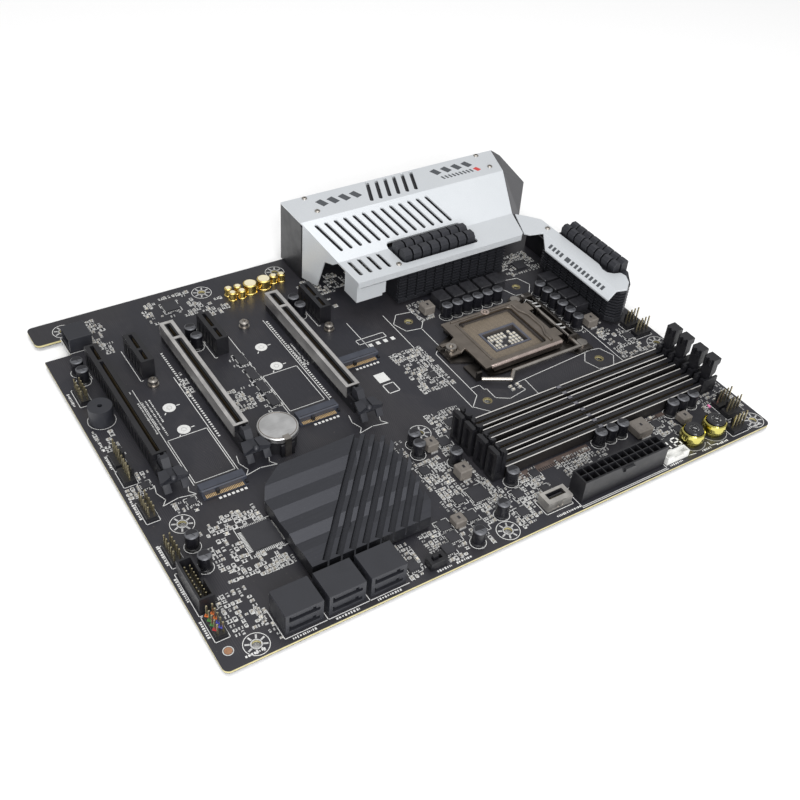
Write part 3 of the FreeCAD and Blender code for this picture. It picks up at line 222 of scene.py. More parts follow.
def board_finish():
    """Charcoal solder mask: copper tracks and vias show through, and the cut edge is bare laminate."""
    graph = Graph("board")
    x, y, z = graph.axes()
    cells = graph.cells(52.0, 1.0, distance="MANHATTAN")
    pick = graph.node("ShaderNodeSeparateColor", {0: cells["Color"]}).outputs[0]
    track_mm = 0.95
    ripple = []
    for angle in (0, 45, 90):
        turned = math.radians(angle)
        along_x = graph.math("MULTIPLY", x, math.sin(turned))
        across = graph.math("MULTIPLY_ADD", y, math.cos(turned), along_x)
        wave = graph.math("SINE", graph.math("MULTIPLY", across, 2 * math.pi / (track_mm * MM)))
        ripple.append(graph.remap(wave, 0.1, 0.5))
    use_diagonal = graph.math("GREATER_THAN", pick, 0.72)
    use_upright = graph.math("LESS_THAN", pick, 0.22)
    tracks = graph.mix(use_diagonal, ripple[0], ripple[1])
    tracks = graph.mix(use_upright, tracks, ripple[2])
    routed = graph.remap(graph.noise(26.0, 2.0), 0.47, 0.55)
    tracks = graph.math("MULTIPLY", tracks, routed)
    dots = graph.remap(graph.cells(260.0, 0.85)["Distance"], 0.07, 0.13, 1.0, 0.0)
    pour = graph.remap(graph.noise(45.0, 3.0), 0.45, 0.66)
    weave = graph.noise(0.8, 2.0, (0.12, 1.0, 1.0))
    base = graph.mix(pour, tone(43, 43, 48), tone(48, 47, 50))
    base = graph.mix(graph.math("MULTIPLY", tracks, 0.5), base, tone(62, 60, 62))
    base = graph.mix(graph.math("MULTIPLY", dots, 0.5), base, tone(92, 88, 84))
    threads = graph.remap(weave, noise_low, noise_high, 0.0, 0.25)
    base = graph.mix(threads, base, tone(33, 33, 38))
    laminate = graph.mix(graph.noise(0.5, 2.0, (0.2, 0.2, 1.0)), tone(150, 142, 96), tone(196, 186, 140))
    middle = graph.math("ABSOLUTE", graph.math("SUBTRACT", z, (board_low.z + board_high.z) / 2))
    core = graph.remap(middle, 0.45 * MM, 0.62 * MM, 1.0, 0.0)
    cut_edge = graph.math("LESS_THAN", graph.math("ABSOLUTE", graph.facing_up()), 0.5)
    core = graph.math("MULTIPLY", core, cut_edge)
    graph.give("Base Color", graph.mix(core, base, laminate))
    rough = graph.remap(pour, 0.0, 1.0, 0.36, 0.30)
    graph.give("Roughness", graph.math("MULTIPLY_ADD", weave, 0.1, rough))
    relief = graph.math("MULTIPLY_ADD", tracks, 0.8, graph.math("MULTIPLY", dots, 0.6))
    graph.bump(graph.math("MULTIPLY_ADD", weave, 0.35, relief), 0.35, 0.03)
    graph.give("Specular IOR Level", 0.42)


def brushed(name, colour, rough, along):
    """Metal with fine drawn lines along one axis."""
    stretch = [1.0, 1.0, 1.0]
    stretch["xyz".index(along)] = 0.04
    finish(name, colour, rough, metal=1.0, grain=0.18, grain_mm=0.3, stretch=stretch)


def contact_field_finish():
    """Tan contact field with a close grid of tiny spring contacts."""
    graph = Graph("contact_field")
    along_x, along_y = graph.axes()[:2]
    pitch = 0.914 * MM
    waves = []
    for axis, phase in ((along_x, 0.0), (along_y, 0.4)):
        turned = graph.math("MULTIPLY_ADD", axis, 2 * math.pi / pitch, phase)
        waves.append(graph.math("SINE", turned))
    dots = graph.remap(graph.math("MULTIPLY", waves[0], waves[1]), 0.1, 0.6)
    mottle = graph.noise(5.0, 3.0)
    ground = graph.mix(mottle, tone(88, 80, 72), tone(112, 102, 92))
    graph.give("Base Color", graph.mix(dots, ground, tone(150, 138, 118)))
    graph.give("Roughness", graph.remap(dots, 0.0, 1.0, 0.62, 0.38))
    graph.give("Metallic", 0.25)
    graph.bump(dots, 0.5, 0.08)


def painted_cover_finish():
    """Silver paint with a fine metallic fleck and faint handling marks."""
    graph = Graph("silver_paint")
    cloud = graph.noise(38.0, 4.0)
    fleck = graph.noise(0.16, 2.0)
    rub = graph.noise(2.4, 4.0, (0.25, 1.0, 1.0))
    light = graph.mix(cloud, tone(205, 209, 213), tone(217, 220, 223))
    light = graph.mix(graph.remap(fleck, 0.35, 0.68, 0.0, 0.5), light, tone(186, 191, 196))
    graph.give("Base Color", light)
    graph.give("Roughness", graph.math("MULTIPLY_ADD", rub, 0.12, 0.34))
    graph.give("Metallic", 0.35)
    graph.bump(fleck, 0.12, 0.03)


def anodised_finish():
    """Dark anodised aluminium with milling lines and faint dust; upright faces are darker as painted shade.
    """
    graph = Graph("black_anodised")
    colour = tone(58, 59, 64)
    lines = graph.noise(0.5, 2.0, (1.0, 0.05, 1.0))
    dust = graph.remap(graph.noise(1.2, 5.0), 0.62, 0.75)
    base = graph.mix(lines, shade(colour, 0.82), shade(colour, 1.18))
    # painted shade: upright faces, such as the fin sides, are mixed towards near black
    upright = graph.remap(graph.facing_up(), 0.3, 0.98, 1.0, 0.0)
    base = graph.mix(graph.math("MULTIPLY", upright, 0.5), base, tone(20, 20, 23))
    base = graph.mix(graph.math("MULTIPLY", dust, 0.10), base, tone(120, 120, 125))
    graph.give("Base Color", base)
    graph.give("Roughness", graph.math("MULTIPLY_ADD", lines, 0.10, 0.34))
    graph.give("Metallic", 0.45)
    graph.bump(lines, 0.16, 0.04)


def rail_finish():
    """Thin steel rail: a painted highlight makes its top edge bright, painted shade makes its sides dark,
    and it is duller at the key.
    """
    graph = Graph("rail_steel")
    lines = graph.noise(0.3, 2.0, (1.0, 0.04, 1.0))
    # the bright top-edge colour is a painted highlight
    edge = graph.mix(lines, tone(214, 211, 206), tone(244, 242, 238))
    key_y, key_half = 218.6, 1.25
    from_key = graph.math("ABSOLUTE", graph.math("SUBTRACT", graph.axes()[1], at(0, key_y).y))
    edge = graph.mix(graph.math("LESS_THAN", from_key, key_half * MM), edge, tone(122, 122, 128))
    # painted highlight on the upward faces and painted shade on the side faces
    top = graph.remap(graph.facing_up(), 0.5, 0.8)
    graph.give("Base Color", graph.mix(top, tone(52, 50, 50), edge))
    graph.give("Roughness", graph.math("MULTIPLY_ADD", top, -0.15, 0.5))
    graph.give("Metallic", 0.6)
    graph.bump(lines, 0.15, 0.04)


board_finish()
contact_field_finish()
painted_cover_finish()
anodised_finish()
rail_finish()
brushed("steel", (168, 163, 157), 0.32, "y")
brushed("frame_steel", (92, 88, 85), 0.34, "x")
brushed("shield_steel", (208, 206, 204), 0.40, "x")
brushed("cell_steel", (206, 206, 206), 0.38, "y")
brushed("steel_dark", (112, 108, 106), 0.40, "x")
brushed("steel_satin", (136, 128, 120), 0.34, "y")
finish("socket_plastic", (66, 62, 60), 0.5, grain=0.15)
finish("black_plastic", (29, 29, 32), 0.38, grain=0.14, grain_mm=0.18)
finish("grey_plastic", (58, 61, 70), 0.4, mottle=0.14, grain=0.12)
finish("slate_plastic", (39, 40, 45), 0.5, mottle=0.08, grain=0.2, grain_mm=0.14)
finish("white_plastic", (212, 212, 209), 0.45, mottle=0.04, grain=0.08)
finish("dark_cap", (80, 80, 82), 0.55, mottle=0.08, grain=0.3, grain_mm=0.2)
finish("pad", (150, 155, 165), 0.8)
brushed("port_shell", (198, 195, 190), 0.36, "y")
finish("gold", (190, 180, 148), 0.34, metal=1.0, mottle=0.12, spot_mm=1.0)
finish("gold_chrome", (206, 197, 112), 0.14, metal=1.0, mottle=0.06, grain=0.03)
finish("gloss_black", (24, 24, 27), 0.16, grain=0.03, coat=0.6)
finish("can", (26, 26, 30), 0.3, mottle=0.2, spot_mm=3.0, grain=0.08)
finish("gold_can", (228, 200, 120), 0.24, metal=1.0, mottle=0.15, spot_mm=2.0)
finish("ferrite", (42, 42, 45), 0.34, mottle=0.2, spot_mm=2.0, grain=0.4, grain_mm=0.3)
finish("beige_ferrite", (104, 99, 94), 0.55, mottle=0.12, spot_mm=1.5, grain=0.3)
finish("chip_epoxy", (43, 43, 47), 0.5, grain=0.3, grain_mm=0.12)
# finishes of the small details that the record has no slot for
finish("ink", (205, 205, 203), 0.6, mottle=0.08, spot_mm=1.0)
finish("tin", (204, 204, 203), 0.34, metal=0.6, mottle=0.2, spot_mm=0.8)
finish("ceramic", (146, 141, 132), 0.5, mottle=0.22, spot_mm=1.4)
finish("resistor", (40, 40, 44), 0.4, mottle=0.2, spot_mm=1.2)
finish("can_top", (98, 99, 103), 0.36, metal=0.6, mottle=0.2, spot_mm=1.6, grain=0.08)
# dark marks, and also the painted shade under the cover vents and in the front-panel socket
finish("dark_mark_and_shade", (30, 30, 34), 0.4)
finish("cover_mark", (70, 73, 77), 0.5, spot_mm=1.0)
finish("red_mark", (190, 62, 58), 0.5, spot_mm=1.0)
finish("well_frame", (82, 84, 94), 0.45, metal=0.2, mottle=0.15)
finish("copper", (150, 112, 86), 0.45, metal=0.4, mottle=0.15, spot_mm=1.0)
finish("cream", (198, 192, 178), 0.5, mottle=0.12, spot_mm=1.2)
finish("tail_gold", (238, 204, 150), 0.4, metal=0.7, mottle=0.12, spot_mm=1.0)
finish("lead", (206, 206, 204), 0.4, metal=0.3, spot_mm=0.8)
# pale gold for the painted highlight on the audio can tops
finish("painted_highlight_gold", (238, 228, 196), 0.35, metal=0.4, mottle=0.06)
finish("slot_contact", (104, 92, 72), 0.4, metal=0.6, mottle=0.2, spot_mm=1.0)
finish("hole_rim", (128, 118, 88), 0.45, metal=0.4, mottle=0.15, spot_mm=1.0)
finish("bare_tan", (100, 88, 83), 0.36, metal=0.3, mottle=0.25, spot_mm=5.0)
finish("rose_steel", (214, 196, 188), 0.2, metal=1.0, mottle=0.08, grain=0.05)
finish("segment", (226, 226, 222), 0.5, mottle=0.05)
finish("pink_lens", (226, 120, 170), 0.25)
for name, colour in (("orange_plastic", (196, 104, 52)), ("green_plastic", (66, 120, 62)),
                     ("blue_plastic", (66, 72, 168)), ("red_plastic", (168, 46, 52))):
    finish(name, colour, 0.45)
slot_of = {row["node"]: row["material_slot"] for row in frame["record"]["subparts"]}
for name, body in nodes.items():
    body.data.materials.clear()
    body.data.materials.append(looks[slot_of[name]])


# ---- mesh helpers ----
def circle(x, y, r, sides=24, start=0.0, sweep=2 * math.pi):
    """Points round an arc; a full circle leaves out the repeated last point."""
    steps = sides if sweep >= 2 * math.pi else sides + 1
    turns = [start + sweep * i / sides for i in range(steps)]
    return [(x + r * math.cos(turn), y + r * math.sin(turn)) for turn in turns]


def add_object(name, data):
    """New object in the scene."""
    made = bpy.data.objects.new(name, data)
    bpy.context.scene.collection.objects.link(made)
    return made


def bevel(thing, width_mm):
    """Narrow bevel on the sharp edges of an object."""
    edges = thing.modifiers.new("edges", "BEVEL")
    edges.width = width_mm * MM
    edges.segments = 2
    edges.limit_method = "ANGLE"
    return edges


class Piece:
    """Gathers simple shapes in board millimetres into one mesh with several finishes."""

    def __init__(self, *finishes):
        self.mesh = bmesh.new()
        self.finishes = finishes

    def loft(self, rings, finish=0, closed=True):
        """Skin between rings of points, capped at both ends."""
        rows = [[self.mesh.verts.new(at(*p)) for p in ring] for ring in rings]
        made = []
        for a, b in zip(rows, rows[1:]):
            for i in range(len(a)):
                j = (i + 1) % len(a)
                made.append(self.mesh.faces.new((a[i], a[j], b[j], b[i])))
        if closed:
            made.append(self.mesh.faces.new(rows[0][::-1]))
            made.append(self.mesh.faces.new(rows[-1]))
        for face in made:
            face.material_index = finish

    def prism(self, outline, z0, z1, finish=0):
        self.loft([[(x, y, z0) for x, y in outline], [(x, y, z1) for x, y in outline]], finish)

    def slab(self, x, y, size_x, size_y, z0, z1, finish=0, turn=0.0):
        """Box centred on a place, turned in plan."""
        c, s = math.cos(turn), math.sin(turn)
        corners = []
        for sx, sy in ((-1, -1), (1, -1), (1, 1), (-1, 1)):
            u, v = sx * size_x / 2, sy * size_y / 2
            corners.append((x + u * c - v * s, y + u * s + v * c))
        self.prism(corners, z0, z1, finish)

    def block(self, x0, x1, y0, y1, z0, z1, finish=0):
        self.slab((x0 + x1) / 2, (y0 + y1) / 2, x1 - x0, y1 - y0, z0, z1, finish)

    def disc(self, x, y, r, z0, z1, finish=0, sides=24):
        self.prism(circle(x, y, r, sides), z0, z1, finish)

    def turned(self, x, y, profile, finish=0, sides=32):
        """Turned part from a profile of radius and height, bottom first."""
        self.loft([[(px, py, z) for px, py in circle(x, y, r, sides)] for r, z in profile], finish)

    def ring(self, x, y, inner, outer, z0, z1, finish=0, sides=32):
        rows = []
        for r, z in ((inner, z0), (outer, z0), (outer, z1), (inner, z1), (inner, z0)):
            rows.append([(px, py, z) for px, py in circle(x, y, r, sides)])
        self.loft(rows, finish, closed=False)

    def stroke(self, points, width=print_wide, z=0.0, finish=0, lift=print_high):
        """Printed line through some points."""
        for (ax, ay), (bx, by) in zip(points, points[1:]):
            length = math.hypot(bx - ax, by - ay) + width
            turn = math.atan2(by - ay, bx - ax)
            self.slab((ax + bx) / 2, (ay + by) / 2, length, width, z, z + lift, finish, turn)

    def outline(self, x0, x1, y0, y1, width=print_wide):
        self.stroke([(x0, y0), (x1, y0), (x1, y1), (x0, y1), (x0, y0)], width)

    def outline_round(self, box, gap):
        """Thin printed outline a gap away from a box."""
        self.outline(box.x0 - gap, box.x1 + gap, box.y0 - gap, box.y1 + gap, 0.3)

    def border(self, outer, inner, z0, z1, finish):
        """Four bars that fill the space between two rectangles."""
        x0, x1, y0, y1 = outer
        in_x0, in_x1, in_y0, in_y1 = inner
        for bar in ((x0, in_x0, y0, y1), (in_x1, x1, y0, y1), (in_x0, in_x1, y0, in_y0),
                    (in_x0, in_x1, in_y1, y1)):
            self.block(*bar, z0, z1, finish)

    def tube(self, points, r, finish=0, sides=12):
        """Round bar along a bent line."""
        path = [Vector(p) for p in points]
        rings = []
        for i, p in enumerate(path):
            ahead = (path[min(i + 1, len(path) - 1)] - path[max(i - 1, 0)]).normalized()
            side = ahead.orthogonal().normalized()
            up = ahead.cross(side)
            rings.append([tuple(p + side * r * c + up * r * s) for c, s in circle(0, 0, 1, sides)])
        self.loft(rings, finish)

    def done(self, name, body=ROOT, slot=None, round_mm=0.0):
        """Turn the gathered shapes into an object that rides on a body."""
        bmesh.ops.recalc_face_normals(self.mesh, faces=self.mesh.faces)
        data = bpy.data.meshes.new(name)
        self.mesh.to_mesh(data)
        self.mesh.free()
        for look in self.finishes:
            data.materials.append(looks[look])
        data.shade_smooth()
        data.set_sharp_from_angle(angle=math.radians(35))
        made = add_object(name, data)
        if round_mm:
            bevel(made, round_mm)
        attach(made, body)


# ---- softened edges on the CAD pieces ----
def soften(node, width_mm):
    """Weld a CAD piece and break its sharp edges."""
    weld = nodes[node].modifiers.new("weld", "WELD")
    weld.merge_threshold = same_place
    edges = bevel(nodes[node], width_mm)
    edges.angle_limit = math.radians(40)
    edges.harden_normals = True


for node in ("io_shroud", "top_bar", "shroud_end_cap", "shroud_end_wall", "vrm_heatsink_rear",
             "vrm_heatsink_top", "chipset_heatsink", "sata_ports", "atx_power_connector",
             "socket_load_plate", "audio_header"):
    soften(node, 0.22)
for node in nodes:
    if node.startswith(("dimm_latch", "pcie_latch")):
        soften(node, 0.2)


# ---- printed marks on the board ----
mount_holes = [(10.16, 16.51), (10.16, 95.25), (10.16, 140.97), (33.02, 298.45), (165.1, 16.51),
               (165.1, 140.97), (165.1, 298.45), (237.49, 16.51), (237.49, 140.97), (237.49, 298.45)]
socket_x, socket_y = 123.4, 222.5
cooler_half = 37.5


def hole_marks():
    """White ring, tinned rim and tinned spokes at the mounting holes; dull rims at the cooler holes."""
    marks = Piece("ink", "hole_rim", "tin")
    spokes = 8
    for x, y in mount_holes:
        marks.ring(x, y, 5.3, 5.6, 0, print_high)
        marks.ring(x, y, 1.98, 2.5, 0, 0.04, 2)
        for cx, cy in circle(x, y, 3.7, spokes, math.pi / spokes):
            marks.slab(cx, cy, 2.0, 0.8, 0, 0.05, 2, math.atan2(cy - y, cx - x))
    for side_x, side_y in quarters:
        marks.ring(socket_x + side_x * cooler_half, socket_y + side_y * cooler_half, 2.0, 2.5, 0, 0.04, 1)
    marks.done("hole_marks")


def guide_lines():
    """Thin white lines round the processor area, the card places and the slot latches."""
    lines = Piece("ink")
    for x0, x1, y in ((75, 161.5, 175), (146, 153, 260), (133, 168.5, 270.5), (71.5, 146, 30.5),
                      (71.5, 146, 52.5), (49, 125, 91.3), (49, 125, 114)):
        lines.stroke([(x0, y), (x1, y)])
    lines.stroke([(117, 182.5), (155, 182.5), (161.5, 175.5), (168.5, 181.5)])
    lines.stroke([(95, 188), (112, 188), (117, 182.5)])
    lines.stroke([(149, 183), (149, 188.5), (153, 188.5), (153, 190), (161, 190), (165, 196.5), (163, 208),
                  (156.5, 206.5), (153, 260)])
    lines.stroke([(156.5, 212.5), (168.5, 212)])
    for side_x, side_y in ((-1, -1), (-1, 1), (1, 1)):
        cx, cy = socket_x + side_x * cooler_half, socket_y + side_y * cooler_half
        hexagon = circle(cx, cy, 9.0, 6, 0.35)
        lines.stroke(hexagon + hexagon[:1])
    lines.outline(113.5, 145.0, 31.5, 51.5)
    lines.outline(91.5, 121.5, 92.5, 112.0)
    lines.stroke([(72, 153.5), (96, 153.5), (96, 134), (72, 134)])
    for box in slot_boxes:
        x, y = box.x1 + 6.5, box.y
        half = [(x - 6, 6.5), (x - 1, 7.6), (x + 4.5, 5.5), (x + 7.6, 8.0)]
        near = [(px, y - dy) for px, dy in half]
        far = [(px, y + dy) for px, dy in reversed(half)]
        lines.stroke(near + [(x + 6.0, y)] + far)
    for box in sata_boxes:
        x1, y0 = box.x1 + 1.2, box.y0 - 0.9
        lines.stroke([(box.x0 - 1, y0), (x1, y0), (x1, box.y1 + 0.9)])
    power = span("atx_power_connector")
    y0, y1 = power.y0 - 1.0, power.y1 + 1.0
    lines.outline(power.x0 - 0.9, power.x1 + 0.4, y0, y1)
    lines.stroke([(power.x1 + 1.2, y0), (power.x1 + 1.2, y1)])
    for node in ("usb3_header", "usb_front_connector", "audio_header"):
        lines.outline_round(span(node), 0.8)
    buzzer = span("buzzer")
    lines.stroke(circle(buzzer.x, buzzer.y, buzzer.wide / 2 + 0.8, 36) + [(buzzer.x1 + 0.8, buzzer.y)], 0.3)
    for box in header_boxes:
        lines.outline_round(box, 0.7)
    for box in x1_boxes:
        x0, x1, y = box.x0 - 1.0, box.x1 + 1.0, box.y0 - 1.4
        lines.stroke([(x0, y), (x1, y), (x1, y + 1.2)])
    for box in solids("button_housings"):
        lines.stroke(circle(box.x, box.y, 7.4, 24, math.radians(-70), math.radians(120)))
        lines.stroke([(box.x + 5, box.y - 8.2), (box.x + 7.6, box.y - 8.2), (box.x + 8.2, box.y - 4)])
    lines.done("guide_lines")


def dash_rows():
    """Rows of plain short strokes where a board carries its small print."""
    rows = Piece("ink")
    label = 1.3
    for x, y, degrees, length in [
        (241.6, 166, 90, 14), (241.8, 110, 90, 8), (241.8, 100, 90, 7), (242.0, 236, 90, 8),
        (96, 3.2, 0, 10), (110, 2.2, 0, 9), (142, 2.0, 0, 12), (172, 2.0, 0, 12), (192, 1.6, 0, 14),
        (217, 1.6, 0, 9), (60, 1.8, 0, 10), (242, 268, 90, 7), (241.8, 258, 90, 6),
        (241.0, 292, 90, 8), (241.0, 10, 90, 9),
    ]:
        dash_row(rows, x, y, math.radians(degrees), length, label)
    for box in sata_boxes:
        dash_row(rows, box.x1 + 2.5, box.y0 + 2.0, math.pi / 2, 11, label)
    for i in range(5):
        dash_row(rows, 82, 27.4 + i * 1.9, 0.0, 26 - 2 * i, 0.9)
    for i in range(2):
        dash_row(rows, 74, 116.0 + i * 1.8, 0.0, 20, 0.9)
    for i in range(4):
        dash_row(rows, 48, 12.0 + i * 1.5, 0.0, 6, 0.7)
    dash_row(rows, 100, 33.2, 0.0, 10, 0.8)
    rows.done("print_rows")


def dash_row(piece, x, y, turn, length, height):
    """One row of strokes of uneven width, like print too small to read."""
    along = 0.0
    while along < length:
        wide = chance.uniform(0.35, 0.9)
        reach = along + wide / 2
        cx, cy = x + reach * math.cos(turn), y + reach * math.sin(turn)
        piece.slab(cx, cy, wide, height * chance.uniform(0.55, 1.0), 0, print_high, 0, turn)
        along += wide + chance.uniform(0.3, 0.7)


def blank_badges():
    """Plain printed patches: a filled one beside an outlined one, and a long plate beside a row."""
    badge = Piece("ink")
    badge.slab(120.4, 146.4, 7.0, 6.4, 0, print_high)
    badge.outline(126.0, 133.0, 143.4, 149.8, 0.5)
    badge.outline(87.6, 91.6, 150.0, 167.0, 0.4)
    for i in range(4):
        badge.slab(94.6, 155.4 + i * 4.6, 2.6, 2.2, 0, print_high)
    badge.done("blank_badges")


# ---- small soldered parts ----
ceramic, resistor, cream = 1, 2, 3    # kinds of small part: their places in Clutter's finishes


class Clutter:
    """Small chip parts with tinned ends, kept clear of everything that stands on the board."""

    edge, edge_x1, edge_y1 = 1.5, 242.4, 303.3
    notch_x0, notch_x1, notch_y1 = 15.6, 31.9, 14.4
    mixed_share, outlined_share = 0.12, 0.62

    def __init__(self):
        self.parts = Piece("tin", "ceramic", "resistor", "cream")
        self.marks = Piece("ink")
        self.taken = []

    def keep_clear(self, box, margin=0.5):
        self.taken.append((box.x0 - margin, box.x1 + margin, box.y0 - margin, box.y1 + margin))

    def free(self, x, y, size_x, size_y):
        x0, x1, y0, y1 = x - size_x / 2, x + size_x / 2, y - size_y / 2, y + size_y / 2
        if min(x0, y0) < self.edge or x1 > self.edge_x1 or y1 > self.edge_y1:
            return False
        if y0 < self.notch_y1 and x1 > self.notch_x0 and x0 < self.notch_x1:
            return False
        return all(x1 < a or x0 > b or y1 < c or y0 > d for a, b, c, d in self.taken)

    def part(self, x, y, length, width, kind, upright):
        """One chip part: a body between two tinned ends."""
        size_x, size_y = (width, length) if upright else (length, width)
        if not self.free(x, y, size_x, size_y):
            return
        height = 0.45 if kind == resistor else 0.55 * width + 0.2
        end, solder = length * 0.24, 0.35
        for side in (-1, 1):
            shift = side * (length - end) / 2
            ex, ey = (x, y + shift) if upright else (x + shift, y)
            ends = (width, end) if upright else (end, width)
            self.parts.slab(ex, ey, *ends, 0, height)
            self.parts.slab(ex, ey, ends[0] + solder, ends[1] + solder, 0, 0.06)
        middle = (width - 0.06, length - 2 * end) if upright else (length - 2 * end, width - 0.06)
        self.parts.slab(x, y, *middle, 0.02, height - 0.03, kind)

    def patch(self, x0, x1, y0, y1, density):
        """Scatter parts on a grid; many of them get a printed outline."""
        pitch = 2.5
        y = y0
        while y < y1:
            x = x0
            while x < x1:
                roll = chance.random()
                if roll < density:
                    upright = chance.random() < 0.5
                    kinds = (ceramic, resistor, ceramic, resistor, resistor)
                    if roll < self.mixed_share:
                        kinds = (ceramic, ceramic, ceramic, resistor, resistor, cream)
                    kind = chance.choice(kinds)
                    length, width = chance.choice(((1.7, 0.9), (1.7, 0.9), (2.1, 1.25), (1.1, 0.6)))
                    self.part(x, y, length, width, kind, upright)
                    outlined = chance.random() < self.outlined_share
                    if outlined and self.free(x, y, pitch + 0.1, pitch + 0.1):
                        self.bracket(x, y, length, width, upright)
                x += pitch
            y += pitch

    def bracket(self, x, y, length, width, upright):
        """Printed outline round one part."""
        half_l, half_w = length / 2 + 0.32, width / 2 + 0.32
        half_x, half_y = (half_w, half_l) if upright else (half_l, half_w)
        if chance.random() < 0.5:
            self.marks.outline(x - half_x, x + half_x, y - half_y, y + half_y, 0.24)
        elif upright:
            for side in (-half_x, half_x):
                self.marks.stroke([(x + side, y - half_y), (x + side, y + half_y)], 0.28)
        else:
            for side in (-half_y, half_y):
                self.marks.stroke([(x - half_x, y + side), (x + half_x, y + side)], 0.28)

    def column(self, x, y, step, count, kind):
        """A neat row of equal parts, side by side."""
        for i in range(count):
            self.part(x, y + i * step, 1.7, 0.85, kind, False)

    def done(self):
        self.parts.done("chip_parts")
        self.marks.done("chip_part_marks")


header_boxes = solids("pin_headers")
sata_boxes = solids("sata_ports")
x1_boxes = solids("pcie_x1_slots")
slot_boxes = solids("pcie_x16_slots")
chip_boxes = [box for box in solids("chips") if box.wide < 20]
can_boxes = solids("capacitors")
standing = ["pin_headers", "sata_ports", "pcie_x1_slots", "pcie_x16_slots", "chips", "capacitors",
            "gold_capacitors", "vrm_chokes", "beige_chokes", "m2_connectors", "m2_standoffs",
            "dimm_slots", "usb3_header", "audio_header", "usb_front_connector", "probe_header",
            "atx_power_connector", "segment_display", "bios_switch", "button_housings",
            "battery_holder", "buzzer", "chipset_heatsink", "vrm_heatsink_rear", "vrm_heatsink_top",
            "cpu_socket_body", "rear_usb_ports", "rear_lan_port", "rear_display_ports",
            "rear_audio_jacks", "eps_power_connector", "shroud_end_wall"]


def scatter():
    """Fill the busy areas of the board with small parts, each area as x0, x1, y0, y1 and density."""
    clutter = Clutter()
    clear = 6.2
    for node in standing:
        for box in solids(node):
            if box.z0 < 3:
                clutter.keep_clear(box)
    for node in ("socket_frame", "pcie_latch_1", "pcie_latch_2", "pcie_latch_3"):
        clutter.keep_clear(span(node), 1.0)
    for x, y in mount_holes:
        clutter.taken.append((x - clear, x + clear, y - clear, y + clear))
    for x0, x1, y0, y1, density in [
        (8, 32, 27.5, 36, 0.75), (6, 28, 60, 90, 0.42), (14, 32, 90, 105, 0.55), (28, 40, 26, 34, 0.7),
        (95, 112, 72, 82, 0.8), (108, 143, 160, 178, 0.72), (157, 172, 150, 170, 0.8),
        (166, 197, 124, 150, 0.85), (197, 241, 104, 150, 0.88), (206, 240, 148, 178, 0.85),
        (203, 228, 188, 216, 0.85), (136, 172, 274, 302, 0.62), (206, 236, 282, 303, 0.75),
        (210, 231, 12, 26, 0.72), (172, 206, 21, 35, 0.62), (197, 208, 35, 54, 0.8),
        (170, 179, 33, 54, 0.8), (148, 163, 18, 29, 0.8), (92, 114, 3, 13, 0.5), (128, 143, 3, 20, 0.72),
        (58, 76, 263, 286, 0.75), (71, 90, 192, 204, 0.7), (206, 228, 236, 262, 0.7),
        (222, 242, 24, 27, 0.7), (88, 96, 203, 246, 0.35), (96, 142, 258, 271, 0.35),
        (222, 241, 86, 97, 0.75), (24, 42, 150, 200, 0.55), (73, 80, 10, 30, 0.3), (68, 95, 54, 60, 0.5),
        (70, 126, 84, 90, 0.45), (84, 92, 115, 119, 0.4), (40, 60, 68, 80, 0.3), (30, 60, 146, 158, 0.4),
    ]:
        clutter.patch(x0, x1, y0, y1, density)
    for x, y in ((157.6, 202.0), (160.2, 202.0), (157.6, 206.4), (160.2, 206.4)):
        clutter.part(x, y, 1.9, 1.1, cream, True)
    clutter.column(158.4, 33.0, 2.3, 8, ceramic)
    clutter.column(216.2, 186.0, 2.2, 9, resistor)
    clutter.done()


def chip_leads():
    """Leads or pads round every chip, its printed corner marks and the dot at the first lead."""
    leads = Piece("lead", "dark_mark_and_shade", "ink")
    for box in chip_boxes:
        under_rear_fins = box.z1 < 1.05 and box.x < 70 and box.y > 200
        under_far_fins = box.y > 284 and box.x < 130
        if under_rear_fins or under_far_fins:
            continue
        big = box.wide > 12
        pitch = 0.8 if big else 1.0
        reach = 1.7 if big else 0.45
        count = int((min(box.wide, box.deep) - 1.2) / pitch)
        for i in range(count + 1):
            shift = (i - count / 2) * pitch
            for side in (-1, 1):
                edge_x = box.x + side * (box.wide + reach) / 2
                edge_y = box.y + side * (box.deep + reach) / 2
                leads.slab(edge_x, box.y + shift, reach, pitch * 0.5, 0, 0.3)
                leads.slab(box.x + shift, edge_y, pitch * 0.5, reach, 0, 0.3)
        leads.disc(box.x0 + 1.1, box.y1 - 1.1, 0.35, box.z1, box.z1 + 0.02, 1, 16)
        half_x, half_y = box.wide / 2 + reach + 0.5, box.deep / 2 + reach + 0.5
        leg = min(half_x, half_y) * 0.7
        for sx, sy in quarters:
            cx, cy = box.x + sx * half_x, box.y + sy * half_y
            leads.stroke([(cx - sx * leg, cy), (cx, cy), (cx, cy - sy * leg)], 0.3, finish=2)
    leads.done("chip_leads")


# ---- tops of the cans and coils ----
def can_tops():
    """Grey top of every polymer can with its dark half-moon, a printed ring and a tin foot pad."""
    tops = Piece("can_top", "dark_mark_and_shade", "tin", "ink")
    for box in can_boxes:
        x, y, z = box.x, box.y, box.z1
        r = box.wide / 2 - 0.15
        crown = [(r - 0.30, z - 0.35), (r + 0.02, z - 0.40), (r - 0.42, z + 0.03), (r - 0.6, z + 0.06)]
        tops.turned(x, y, crown)
        moon = circle(x, y, r - 0.6, 14, math.radians(80), math.radians(190))
        tops.prism(moon, z + 0.06, z + 0.09, 1)
        tops.slab(x + 0.5, y, 3.2, 0.28, z + 0.06, z + 0.08, 1, 0.5)
        tops.ring(x, y, r + 0.5, r + 0.8, 0, print_high, 3)
        tops.slab(x + r + 0.6, y, 0.8, 1.2, 0, 0.15, 2)
    tops.done("can_tops", slot="can")


